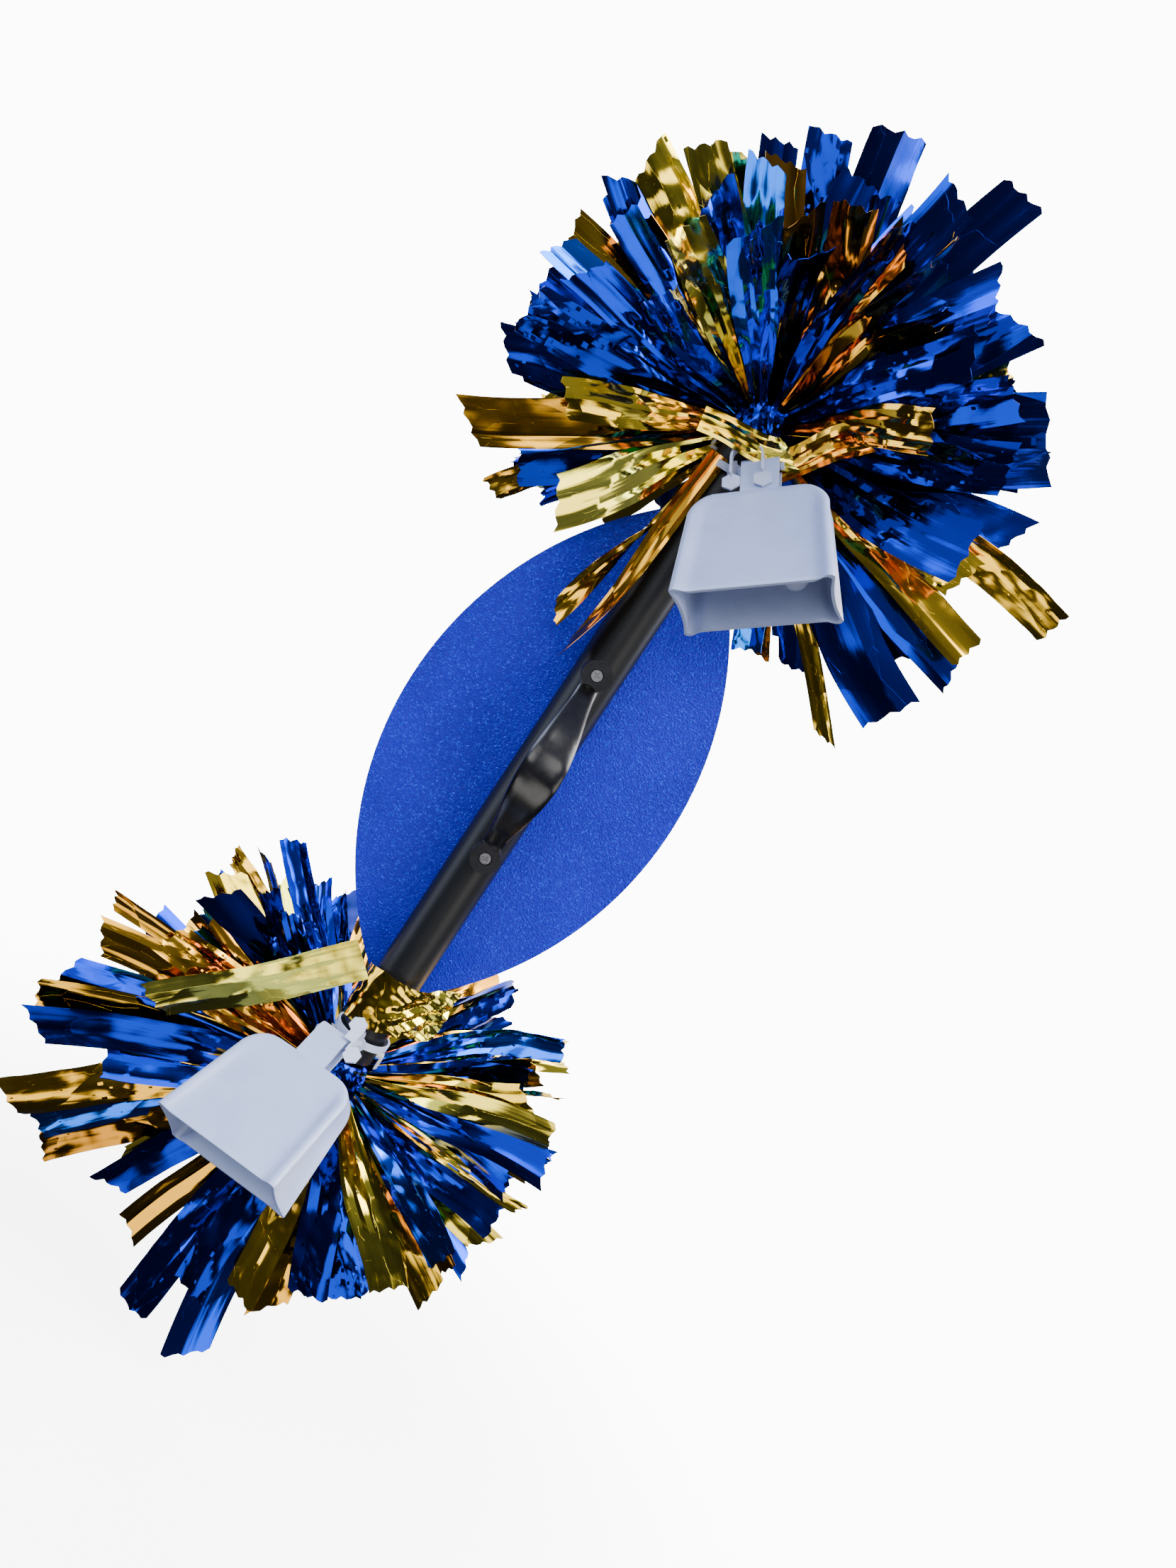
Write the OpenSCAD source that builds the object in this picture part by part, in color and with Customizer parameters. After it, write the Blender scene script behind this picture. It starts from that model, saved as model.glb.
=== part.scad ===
// Hand-held spirit shaker: a plastic tube with a grip strap, a ball-shaped
// back panel, a foil pom on each end and a cowbell tied near each end.
// Axes: +Z runs up the tube, -Y faces the person looking at it, +X is right.
// Origin: the middle of the tube, on its axis. Lengths are in millimetres.

/* [Tube] */
// Outside diameter of the tube (half-inch pipe)
tube_od = 21.34; // [18:0.01:26]
// Bore of the tube
tube_id = 15.8; // [12:0.1:17]
// Length of the tube
tube_length = 304.8; // [250:0.1:380]
// Diameter of the cross holes that the pom's cable tie passes through
tie_hole_d = 5.6; // [5.2:0.1:7]
// Distance from the tube's end to the cross holes
tie_hole_inset = 5; // [4:0.5:7]

/* [Panel] */
// Half of the panel's width
panel_half_w = 65.6; // [50:0.1:80]
// Half of the panel's length, tip to middle
panel_half_l = 129.4; // [110:0.1:140]
// Thickness of the panel sheet
panel_t = 1.5; // [1:0.1:4]

/* [Grip] */
// Distance between the two grip screws
grip_pitch = 88.5; // [75:0.5:110]
// How far each screw is drilled off the middle line
grip_skew = 1.5; // [0:0.1:2]
// Diameter of the grip's round end caps
cap_d = 13; // [11:0.1:16]
// Height of an end cap in front of the tube
cap_h = 7.2; // [6:0.1:10]
// Width of the strap at its ends
strap_end_w = 9; // [7:0.1:10]
// Width of the strap at its middle
strap_mid_w = 18; // [12:0.1:24]
// Thickness of the strap
strap_t = 2.8; // [2:0.1:3.4]
// How far the strap arches out from the tube
strap_rise = 22; // [16:0.5:32]
// Shank diameter of the grip screws
screw_d = 2.9; // [2.5:0.1:4]
// Head diameter of the grip screws
screw_head_d = 4.8; // [4.4:0.1:6]
// Head height of the grip screws
screw_head_h = 1.6; // [1.2:0.1:2]
// Outside diameter of the back washers
washer_d = 9; // [8:0.1:14]
// Thickness of the back washers
washer_t = 0.8; // [0.5:0.1:2]
// Width across the nut's flats
nut_af = 5.5; // [5:0.1:7]
// Height of the nuts
nut_h = 2.4; // [2:0.1:4]

/* [Poms] */
// Diameter of the knot of folded strips on the tube's end
core_d = 24; // [20:0.5:24]
// Height of the knot
core_h = 23; // [18:0.5:26]
// Length of a strip from the middle of its pom
strand_length = 148; // [110:1:165]
// Width of a strip
strand_w = 19; // [12:0.5:21]
// Thickness of one group of strips
strand_t = 0.5; // [0.4:0.1:1]
// Directions shared out over each pom
strand_count = 76; // [40:1:80]
// Width of the cable tie
cable_w = 4.5; // [3.5:0.1:4.6]
// Thickness of the cable tie
cable_t = 1.3; // [1:0.1:1.6]

/* [Ties] */
// Distance from the tube's middle to each bell tie
tie_z = 142; // [130:0.5:142]
// Width of the collar round the tube
collar_w = 3; // [2:0.1:3.4]
// Thickness of the tie's plastic
tie_t = 0.8; // [0.6:0.1:1]
// Corner-to-corner size of the tie's hexagonal tabs
tab_d = 8; // [6:0.1:9]

/* [Bells] */
// Width of the bell's mouth
mouth_w = 61; // [54:0.5:70]
// Depth of the bell's mouth, front to back
mouth_d = 31; // [25:0.5:34]
// Width of the bell's flat crown
crown_w = 31; // [26:0.5:36]
// Depth of the bell's crown
crown_d = 12; // [11.6:0.1:16]
// Height of the bell's body
bell_h = 51; // [48:0.5:60]
// Radius of the shoulders between crown and sides
shoulder_r = 14; // [10:0.5:16]
// Wall of the bell
bell_wall = 1.6; // [1.2:0.1:2]
// Width of the bell's band
band_w = 15; // [12:0.5:18]
// Thickness of the bell's band
band_t = 1.2; // [1:0.1:1.4]
// Height of the band's fold axis above the crown
band_rise = 14.5; // [12:0.5:16]
// Diameter of the clapper's ball
ball_d = 10.4; // [8:0.1:12]
// Distance from the clapper's pin to the ball's middle
clapper_l = 35; // [30:0.5:36]
// Diameter of the clapper's pin
pin_d = 2.4; // [2:0.1:3]

/* [Rest pose] */
// Upper bell: turn about Y, where 0 hangs along the tube
upper_swing = -39; // [-45:0.1:45]
// Upper bell: tilt away from the tube
upper_tilt = 38; // [12:0.5:66]
// Upper bell: offset from the tube's axis
upper_shift = 9.5; // [8:0.1:12]
// Upper bell: twist of its tie, which turns its right side to the front
upper_yaw = -18; // [-24:0.5:-12]
// Upper clapper: angle from the bell's own axis
upper_clap = 24; // [-34:0.5:34]
// Lower bell: turn about Y, where 0 hangs along the tube
lower_swing = -8; // [-45:0.1:45]
// Lower bell: tilt away from the tube
lower_tilt = 45; // [16:0.5:66]
// Lower bell: offset from the tube's axis
lower_shift = -10.5; // [-12:0.1:-9]
// Lower bell: twist of its tie, which turns its right side to the front
lower_yaw = -25.5; // [-30:0.5:-20]

/* [Hidden] */

$fn = 64;
UP = 1;
DOWN = -1;
EPS = 0.01;
seat_gap = 0.05;              // between pieces that are screwed or pressed together
play = 0.3;                   // between pieces that move past each other

tube_r = tube_od / 2;
tube_end = tube_length / 2;
hole_z = tube_end - tie_hole_inset;

panel_front = tube_r + seat_gap;
panel_back = panel_front + panel_t;
panel_arc_r = (panel_half_w * panel_half_w + panel_half_l * panel_half_l) / (2 * panel_half_w);

screw_z = grip_pitch / 2;
strap_back = -tube_r - seat_gap;
strap_front = strap_back - strap_t;
cap_front = -tube_r - cap_h;
cap_recess_d = screw_head_d + 0.8;
cap_recess_front = cap_front + 2;
screw_clear_d = screw_d + 0.2;
washer_back = panel_back + seat_gap + washer_t;
nut_front = washer_back + seat_gap;
nut_clear_d = screw_d + 0.1;
strap_half_l = screw_z - cap_d / 2 + 1;

core_base = tube_end + seat_gap;
core_top = core_base + core_h;
pom_z = core_base + core_h / 2;
cable_in = max(core_d / 2 + 0.3, tube_r + seat_gap);
cable_out = cable_in + cable_t;
strand_start = 20;
golden_angle = 137.508;

collar_gap = 1.3;             // room between collar and tube for the link's tongue
collar_t = 1;
collar_ir = tube_r + collar_gap / 2 + 0.6;
collar_shift = collar_ir - tube_r - seat_gap;
collar_face = -collar_shift - collar_ir - collar_t;
tongue_w = 2.5;
tongue_h = 3.7;               // half the height of the tongue's eye
tongue_back = -tube_r - play;
pad_r = 3.2;                  // round pad in front of the collar, on the axis of the swing
link_back = collar_face - play;
link_front = link_back - tie_t;
bar_r = 1.5;
fold_ir = 2.6;                // inside radius of the band's fold
fold_or = fold_ir + band_t;
arm_gap = 0.4;
arm_t = 1.2;
link_half = band_w / 2 + arm_gap + arm_t;
link_depth = fold_or + play + tie_t;

crown_z = -band_rise;
mouth_z = crown_z - bell_h;
leaf_end_z = crown_z - bell_wall - 9;
pin_z = leaf_end_z + 3.1;
pin_run = 0.08;               // radial running clearance of the clapper on its pin
ball_r = ball_d / 2;
eye_r = pin_d / 2 + 1.4;
eye_w = 2 * fold_ir - 1.6;

// ---------- placement of the tied pieces ----------

function swing_of(end) = end == UP ? upper_swing : lower_swing;
function tilt_of(end) = end == UP ? upper_tilt : lower_tilt;
function shift_of(end) = end == UP ? upper_shift : lower_shift;
function yaw_of(end) = end == UP ? upper_yaw : lower_yaw;
// The upper bar stands further out, so that its near end clears the collar
function bar_y(end) = end == UP
    ? link_back - link_half * abs(sin(upper_yaw)) - link_depth * cos(upper_yaw)
    : link_back - link_depth;
function clap_of(end) = end == UP ? upper_clap : 0;

// Frame of a tie: its axis crosses the tube's axis, -Z is the way the tie hangs
module at_tie(end) {
    translate([0, 0, end * tie_z])
        rotate([0, swing_of(end), 0])
            children();
}

// Frame of a tie's bar, before the bell tilts on it
module at_bar(end) {
    at_tie(end)
        translate([shift_of(end), bar_y(end), 0])
            rotate([0, 0, yaw_of(end)])
                children();
}

// Frame of a bell: the origin is the axis of the band's fold
module at_bell(end) {
    at_bar(end)
        rotate([-tilt_of(end), 0, 0])
            children();
}

// Cylinder along Y from y0 to y1
module y_rod(r, y0, y1) {
    translate([0, y1, 0])
        rotate([90, 0, 0])
            cylinder(r = r, h = y1 - y0);
}

// Cylinder along X, centred
module x_rod(r, l) {
    rotate([0, 90, 0])
        cylinder(r = r, h = l, center = true);
}

// Block between two corners
module block(lo, hi) {
    translate(lo)
        cube(hi - lo);
}

// ---------- tube and panel ----------

module tube() {
    color("#17181a")
    difference() {
        cylinder(d = tube_od, h = tube_length, center = true, $fn = 96);
        cylinder(d = tube_id, h = tube_length + 2, center = true, $fn = 96);
        for (end = [UP, DOWN])
            translate([0, 0, end * hole_z])
                x_rod(tie_hole_d / 2, tube_od + 2);
        for (end = [UP, DOWN])
            translate([-end * grip_skew, 0, end * screw_z])
                y_rod(screw_clear_d / 2, -tube_od, tube_od);
    }
}

module football_panel() {
    arc_x = panel_arc_r - panel_half_w;
    color("#1a2f8c")
    difference() {
        translate([0, panel_back, 0])
            rotate([90, 0, 0])
                linear_extrude(panel_t)
                    intersection() {
                        translate([-arc_x, 0])
                            circle(r = panel_arc_r, $fn = 180);
                        translate([arc_x, 0])
                            circle(r = panel_arc_r, $fn = 180);
                    }
        for (end = [UP, DOWN])
            translate([-end * grip_skew, 0, end * screw_z])
                y_rod(screw_clear_d / 2, 0, tube_od);
    }
}

// ---------- grip ----------

// How far the strap stands out at a share t of its half length, from 0 to 1
function strap_lift(t) = strap_rise * pow(max(0, 1 - t * t), 1.5);
function strap_line(y0, n) = [for (i = [-n:n]) [i / n * strap_half_l, y0 - strap_lift(abs(i / n))]];

// Side view of the arch, as points [z, y]
module strap_side() {
    n = 24;
    polygon(concat(strap_line(strap_back, n),
        [for (p = strap_line(strap_front, n)) [-p[0], p[1]]]));
}

// Front view of the strap: narrow under the caps, wide in the hand
module strap_front_view() {
    n = 20;
    half = [for (i = [-n:n]) let (t = i / n)
        [strap_end_w / 2 + (strap_mid_w - strap_end_w) / 2 * pow(1 - t * t, 2), t * (strap_half_l + 1)]];
    polygon(concat(half, [for (i = [len(half) - 1:-1:0]) [-half[i][0], half[i][1]]]));
}

module grip_lean(end) {
    translate([-end * grip_skew, 0, end * screw_z])
        children();
}

module grip_strap() {
    lean = atan2(grip_skew, screw_z);
    color("#0b0b0d")
    union() {
        rotate([0, -lean, 0])
            intersection() {
                rotate([90, 0, 90])
                    translate([0, 0, -strap_mid_w])
                        linear_extrude(2 * strap_mid_w)
                            mirror([1, -1, 0])
                                strap_side();
                rotate([90, 0, 0])
                    linear_extrude(4 * strap_rise)
                        strap_front_view();
            }
        for (end = [UP, DOWN])
            strap_tab(end);
    }
}

// Flat end of the strap, drilled for its screw
module strap_tab(end) {
    difference() {
        union() {
            grip_lean(end)
                y_rod(strap_end_w / 2, strap_front, strap_back);
            grip_lean(end)
                rotate([0, -atan2(grip_skew, screw_z), 0])
                    block([-strap_end_w / 2, strap_front, -(1 + end) * cap_d / 4],
                        [strap_end_w / 2, strap_back, (1 - end) * cap_d / 4]);
        }
        grip_lean(end)
            y_rod(screw_clear_d / 2, -2 * tube_od, 0);
    }
}

module grip_cap(end) {
    color("#0c0c0e")
    difference() {
        grip_lean(end)
            y_rod(cap_d / 2, cap_front, -tube_r / 2);
        cylinder(r = tube_r + seat_gap, h = 2 * tube_length, center = true, $fn = 96);
        grip_lean(end)
            y_rod(strap_end_w / 2 + 0.15, strap_front - seat_gap, 0);
        grip_lean(end)
            rotate([0, -atan2(grip_skew, screw_z), 0])
                block([-strap_end_w / 2 - 0.15, strap_front - seat_gap, -(1 + end) * cap_d],
                    [strap_end_w / 2 + 0.15, 0, (1 - end) * cap_d]);
        // the bite that the strap rises out of
        grip_lean(end)
            translate([0, 0, -end * (cap_d / 2 + 3.64)])
                y_rod(strap_end_w / 2 + 0.9, cap_front - 1, 0);
        grip_lean(end)
            y_rod(cap_recess_d / 2, cap_front - 1, cap_recess_front);
        grip_lean(end)
            y_rod(screw_clear_d / 2, cap_front - 1, 0);
    }
}

module grip_screw(end) {
    cross_w = 0.8;
    cross_l = 3;
    color("#8d9095")
    grip_lean(end)
        difference() {
            union() {
                y_rod(screw_head_d / 2, cap_recess_front - screw_head_h, cap_recess_front - seat_gap);
                y_rod(screw_d / 2, cap_recess_front - seat_gap - EPS, nut_front + nut_h + 1.2);
            }
            for (turn = [0, 90])
                rotate([0, turn + 20, 0])
                    block([-cross_l / 2, cap_recess_front - screw_head_h - 1, -cross_w / 2],
                        [cross_l / 2, cap_recess_front - screw_head_h + 0.9, cross_w / 2]);
        }
}

module back_washer(end) {
    color("#a7aaad")
    grip_lean(end)
        difference() {
            y_rod(washer_d / 2, panel_back + seat_gap, washer_back);
            y_rod(screw_clear_d / 2, 0, tube_od);
        }
}

module grip_nut(end) {
    color("#9a9da1")
    grip_lean(end)
        difference() {
            translate([0, nut_front + nut_h, 0])
                rotate([90, 0, 0])
                    cylinder(d = nut_af / cos(30), h = nut_h, $fn = 6);
            y_rod(nut_clear_d / 2, 0, 2 * tube_od);
        }
}

// ---------- poms ----------

module pom_knot(end) {
    neck = 2;
    color("#20306f")
    translate([0, 0, end * core_base])
        mirror([0, 0, end == UP ? 0 : 1])
            rotate_extrude()
                polygon([[0, 0], [core_d / 2 - neck, 0], [core_d / 2, neck],
                    [core_d / 2, core_h - neck], [core_d / 2 - neck, core_h], [0, core_h]]);
}

// Cable tie: through the tube's cross holes, up both sides and over the knot
module pom_cable_tie(end) {
    head = [3.2, 6.4, 5.4];
    color("#dfe2e6")
    mirror([0, 0, end == UP ? 0 : 1])
        union() {
            difference() {
                block([-cable_out, -cable_w / 2, hole_z - cable_t / 2],
                    [cable_out, cable_w / 2, core_top + seat_gap + cable_t]);
                block([-cable_in, -cable_w, hole_z + cable_t / 2],
                    [cable_in, cable_w, core_top + seat_gap]);
            }
            translate([cable_out - EPS, -head[1] / 2, pom_z - head[2] / 2])
                cube(head);
        }
}

// Direction number i of the shared set, as [azimuth, elevation]
function strand_az(i) = (i * golden_angle) % 360;
function strand_el(i) = asin(1 - 2 * (i + 0.5) / strand_count);
function strand_roll(i) = (i * 67) % 180;
function strand_reach(i) = strand_length * (0.93 + 0.15 * ((i * 7) % 11) / 10);
function strand_is_blue(i) = (i * 3) % 5 < 3;
function strand_dir(az, el) = [cos(el) * cos(az), cos(el) * sin(az), sin(el)];
function strand_side(az, el, roll) = [
    -sin(roll) * sin(el) * cos(az) - cos(roll) * sin(az),
    -sin(roll) * sin(el) * sin(az) + cos(roll) * cos(az),
    sin(roll) * cos(el)];
// Half the width of a strip at a share f of its free length
function strand_half_w(f) = strand_w / 2 * min(1, 0.27 + 1.62 * f);

// Points along the middle and both edges of strip i, in the part's frame
function strand_points(i, end) =
    let (az = strand_az(i), el = strand_el(i), roll = strand_roll(i), reach = strand_reach(i))
    [for (f = [0:0.1:1], side = [-1, 0, 1])
        [0, 0, end * pom_z]
        + (strand_start + f * (reach - strand_start)) * strand_dir(az, el)
        + side * strand_half_w(f) * strand_side(az, el, roll)];

// Room that a strip keeps clear: the tube, the panel and the way the bells swing
bell_reach = bell_h + band_rise + mouth_w / 2 + 4;
function near_tube(p) = norm([p[0], p[1]]) < tube_r + 3.4 && abs(p[2]) < tube_end + 2;
function near_panel(p) =
    abs(p[1] - panel_front - panel_t / 2) < panel_t / 2 + 1.5
    && norm([abs(p[0]) + panel_arc_r - panel_half_w, p[2]]) < panel_arc_r + 3;
function near_bell(p, end) =
    let (from_tie = p - [0, bar_y(end), end * tie_z])
    norm(from_tie) < bell_reach
    && p[1] < -5
    && from_tie[2] < 24;
function strand_is_clear(i, end) =
    len([for (p = strand_points(i, end)) if (near_tube(p) || near_panel(p) || near_bell(p, end)) 1]) == 0;

module strand(i) {
    reach = strand_reach(i);
    shoulder = strand_start + 0.45 * (reach - strand_start);
    root_w = strand_half_w(0);
    edge_w = strand_half_w(1);
    rotate([strand_roll(i), -strand_el(i), strand_az(i)])
        translate([0, 0, -strand_t / 2])
            linear_extrude(strand_t)
                polygon([[strand_start, -root_w], [shoulder, -edge_w], [reach - 5, -edge_w],
                    [reach, edge_w], [shoulder, edge_w], [strand_start, root_w]]);
}

module strands(end, blue) {
    for (i = [0:strand_count - 1])
        if (strand_is_blue(i) == blue && strand_is_clear(i, end))
            translate([0, 0, end * pom_z])
                strand(i);
}

module blue_strands(end) {
    color("#1b3fd0")
        strands(end, true);
}

module gold_strands(end) {
    color("#d8a52a")
        strands(end, false);
}

// ---------- ties ----------

module tie_collar(end) {
    color("#e3e6ee")
    translate([0, -collar_shift, end * tie_z])
        difference() {
            cylinder(r = collar_ir + collar_t, h = collar_w, center = true, $fn = 96);
            cylinder(r = collar_ir, h = collar_w + 2, center = true, $fn = 96);
        }
}

// Link: an eye round the collar's front with a round pad that it swings on, a back bar,
// two arms and the bar in the band
module tie_link(end) {
    color("#d9dde8")
    union() {
        at_tie(end)
            difference() {
                block([-tongue_w / 2, link_front, -tongue_h - tie_t],
                    [tongue_w / 2, tongue_back, tongue_h + tie_t]);
                block([-tongue_w, link_back, -tongue_h],
                    [tongue_w, tongue_back - tie_t, tongue_h]);
            }
        at_tie(end)
            y_rod(pad_r, link_front, link_back);
        at_bar(end) {
            for (side = [-1, 1])
                translate([side * (link_half - arm_t / 2), 0, 0])
                    block([-arm_t / 2, -bar_r, -bar_r], [arm_t / 2, link_depth, bar_r]);
            x_rod(bar_r, 2 * link_half);
            block([-link_half, link_depth - tie_t, -bar_r], [link_half, link_depth, bar_r]);
        }
        at_tie(end)
            if (end == UP)
                upper_bridge();
            else
                lower_bridge();
    }
}

// Both bells hang off to one side, so their links reach across from the collar
module upper_bridge() {
    near_x = upper_shift - link_half * cos(upper_yaw) - link_depth * sin(upper_yaw);
    block([-tongue_w / 2, link_front, -bar_r], [near_x + arm_t, link_back, bar_r]);
}

module lower_bridge() {
    near_x = lower_shift + link_half * cos(lower_yaw) - link_depth * sin(lower_yaw);
    near_y = bar_y(DOWN) + link_half * sin(lower_yaw) + link_depth * cos(lower_yaw);
    block([near_x - arm_t, near_y - tie_t, -bar_r], [tongue_w / 2, near_y + EPS, bar_r]);
    block([-tongue_w / 2, near_y - tie_t, -bar_r], [tongue_w / 2, link_back, bar_r]);
}

// Hexagonal tab of the tie's strap, lying flat in front of a surface at y
module tab(x, y, z) {
    translate([x, y, z])
        rotate([90, 30, 0])
            cylinder(d = tab_d, h = 1, $fn = 6);
}

// Free ends of the tie's strap, which lie against the bell's band
module tie_ends(end) {
    color("#e6e9f2")
    at_bell(end)
        if (end == UP)
            upper_ends();
        else
            lower_ends();
}

// An arch with a tab at each foot: one beside the band, one in front of it
module upper_ends() {
    left = -band_w / 2 - 3.9;
    arch_r = 6.6;
    arch_z = 2;
    leg = 8;
    front = -fold_or - play;
    outline = [for (a = [0:12:180]) [arch_r * cos(a), arch_r * sin(a)]];
    inner = [for (a = [180:-12:0]) (arch_r - tie_t) * [cos(a), sin(a)]];
    union() {
        translate([left + arch_r, front, arch_z])
            rotate([90, 0, 0])
                linear_extrude(3)
                    polygon(concat([[arch_r, -leg]], outline, [[-arch_r, -leg], [tie_t - arch_r, -leg]],
                        inner, [[arch_r - tie_t, -leg]]));
        tab(left + tie_t / 2, front, -9);
        tab(left + 2 * arch_r - tie_t / 2, front, -9);
    }
}

// A short strap out of the band's end, and a second tab above the fold
module lower_ends() {
    exit_x = band_w / 2 + arm_gap + arm_t + play;
    front = -fold_or - play;
    union() {
        block([exit_x, front - 1, -3], [exit_x + 1, 0, 3]);
        block([exit_x - 4, front - 1, 1], [exit_x + 1, front, fold_or + 5]);
        tab(exit_x + tab_d / 2, front, -3.5);
        tab(exit_x - 3, front, fold_or + 5);
    }
}

// ---------- bells ----------

// Front view of a bell: flat crown, round shoulders, sides that flare to the mouth
module bell_front(inset) {
    top = crown_z - inset;
    r = shoulder_r;
    side_x = crown_w / 2 + r;
    slope = (mouth_w / 2 - side_x) / (bell_h - r);
    low = mouth_z - inset;
    arc = [for (a = [0:7.5:90]) [crown_w / 2 + (r - inset) * sin(a), crown_z - r + (r - inset) * cos(a)]];
    low_x = side_x - inset + slope * (crown_z - r - low);
    right = concat([[0, top]], arc, [[low_x, low]]);
    polygon(concat(right, [for (i = [len(right) - 1:-1:1]) [-right[i][0], right[i][1]]]));
}

// Side view of a bell: walls that spread from the crown to the mouth
module bell_side(inset) {
    slope = (mouth_d - crown_d) / 2 / bell_h;
    top = crown_z - inset;
    low = mouth_z - inset;
    top_y = crown_d / 2 - inset + slope * inset;
    low_y = mouth_d / 2 - inset + slope * inset;
    polygon([[-top_y, top], [top_y, top], [low_y, low], [-low_y, low]]);
}

module bell_form(inset) {
    intersection() {
        translate([0, mouth_w / 2, 0])
            rotate([90, 0, 0])
                linear_extrude(mouth_w)
                    bell_front(inset);
        translate([-mouth_w, 0, 0])
            rotate([90, 0, 90])
                linear_extrude(2 * mouth_w)
                    bell_side(inset);
    }
}

module bell_shell(end) {
    slot_gap = 0.1;
    slot_t = band_t + 2 * slot_gap;
    slot_y = fold_ir + band_t / 2;
    slot_below = 4;
    color("#c9cfe4")
    at_bell(end)
        difference() {
            bell_form(0);
            bell_form(bell_wall);
            for (side = [-1, 1])
                block([-band_w / 2 - slot_gap, side * slot_y - slot_t / 2, crown_z - slot_below],
                    [band_w / 2 + slot_gap, side * slot_y + slot_t / 2, crown_z + 1]);
        }
}

// Strip of plastic folded over the tie's bar, its two leaves through the crown
module bell_band(end) {
    color("#cdd3e6")
    at_bell(end)
        difference() {
            union() {
                x_rod(fold_or, band_w);
                block([-band_w / 2, -fold_or, leaf_end_z], [band_w / 2, fold_or, 0]);
            }
            x_rod(fold_ir, band_w + 2);
            block([-band_w, -fold_ir, leaf_end_z - 1], [band_w, fold_ir, 0]);
            translate([0, 0, pin_z])
                y_rod(pin_d / 2 + 0.03, -2 * fold_or, 2 * fold_or);
        }
}

module clapper_pin(end) {
    head_r = pin_d / 2 + 0.8;
    head_t = 0.5;
    color("#9fa3ab")
    at_bell(end)
        translate([0, 0, pin_z])
            union() {
                y_rod(pin_d / 2, -fold_or - seat_gap - EPS, fold_or + seat_gap + EPS);
                y_rod(head_r, -fold_or - seat_gap - head_t, -fold_or - seat_gap);
                y_rod(head_r, fold_or + seat_gap, fold_or + seat_gap + head_t);
            }
}

module clapper(end) {
    rod_r = 1.1;
    color("#c2c6d6")
    at_bell(end)
        translate([0, 0, pin_z])
            rotate([0, -clap_of(end), 0])
                difference() {
                    union() {
                        y_rod(eye_r, -eye_w / 2, eye_w / 2);
                        translate([0, 0, -clapper_l])
                            cylinder(r = rod_r, h = clapper_l - pin_d / 2 - 0.5);
                        translate([0, 0, -clapper_l])
                            sphere(r = ball_r);
                    }
                    y_rod(pin_d / 2 + pin_run, -eye_w, eye_w);
                }
}

tube();
football_panel();
grip_strap();
grip_cap(UP);  // upper_grip_cap
grip_cap(DOWN);  // lower_grip_cap
grip_screw(UP);  // upper_grip_screw
grip_screw(DOWN);  // lower_grip_screw
back_washer(UP);  // upper_back_washer
back_washer(DOWN);  // lower_back_washer
grip_nut(UP);  // upper_grip_nut
grip_nut(DOWN);  // lower_grip_nut
pom_knot(UP);  // upper_pom_knot
pom_cable_tie(UP);  // upper_pom_cable_tie
blue_strands(UP);  // upper_blue_strands
gold_strands(UP);  // upper_gold_strands
pom_knot(DOWN);  // lower_pom_knot
pom_cable_tie(DOWN);  // lower_pom_cable_tie
blue_strands(DOWN);  // lower_blue_strands
gold_strands(DOWN);  // lower_gold_strands
tie_collar(UP);  // upper_tie_collar
tie_link(UP);  // upper_tie_link
tie_ends(UP);  // upper_tie_ends
bell_band(UP);  // upper_bell_band
bell_shell(UP);  // upper_bell_shell
clapper_pin(UP);  // upper_clapper_pin
clapper(UP);  // upper_clapper
tie_collar(DOWN);  // lower_tie_collar
tie_link(DOWN);  // lower_tie_link
tie_ends(DOWN);  // lower_tie_ends
bell_band(DOWN);  // lower_bell_band
bell_shell(DOWN);  // lower_bell_shell
clapper_pin(DOWN);  // lower_clapper_pin
clapper(DOWN);  // lower_clapper
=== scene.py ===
"""Cheer pom pom shaker: finished surfaces, materials, studio and camera, in metres."""

import logging
import math
from dataclasses import dataclass, field
from enum import Enum, IntEnum
from typing import Any, Sequence

import bpy
import numpy as np
from mathutils import Matrix, Vector


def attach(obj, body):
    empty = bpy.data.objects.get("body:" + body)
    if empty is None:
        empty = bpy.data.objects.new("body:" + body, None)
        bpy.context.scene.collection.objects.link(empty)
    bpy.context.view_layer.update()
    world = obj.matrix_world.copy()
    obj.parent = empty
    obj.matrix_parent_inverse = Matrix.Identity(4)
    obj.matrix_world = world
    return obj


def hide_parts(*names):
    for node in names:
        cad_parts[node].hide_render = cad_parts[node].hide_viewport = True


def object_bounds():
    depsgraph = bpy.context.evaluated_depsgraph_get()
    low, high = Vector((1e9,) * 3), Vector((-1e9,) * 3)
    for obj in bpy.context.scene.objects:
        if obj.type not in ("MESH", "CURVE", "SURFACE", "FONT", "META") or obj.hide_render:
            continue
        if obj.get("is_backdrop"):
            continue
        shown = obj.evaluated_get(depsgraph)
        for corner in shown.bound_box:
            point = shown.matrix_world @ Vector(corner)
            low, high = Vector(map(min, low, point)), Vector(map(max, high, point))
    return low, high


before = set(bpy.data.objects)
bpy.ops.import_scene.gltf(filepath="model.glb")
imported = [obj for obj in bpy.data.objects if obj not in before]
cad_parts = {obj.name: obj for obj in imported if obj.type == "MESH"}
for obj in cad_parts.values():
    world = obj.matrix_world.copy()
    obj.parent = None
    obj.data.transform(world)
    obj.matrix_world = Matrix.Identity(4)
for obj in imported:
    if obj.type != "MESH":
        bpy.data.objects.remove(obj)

LOG = logging.getLogger("pom_pom_shaker")
MM = 0.001
Colour = tuple[float, float, float]


# ---------- shader arithmetic ----------


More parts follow.
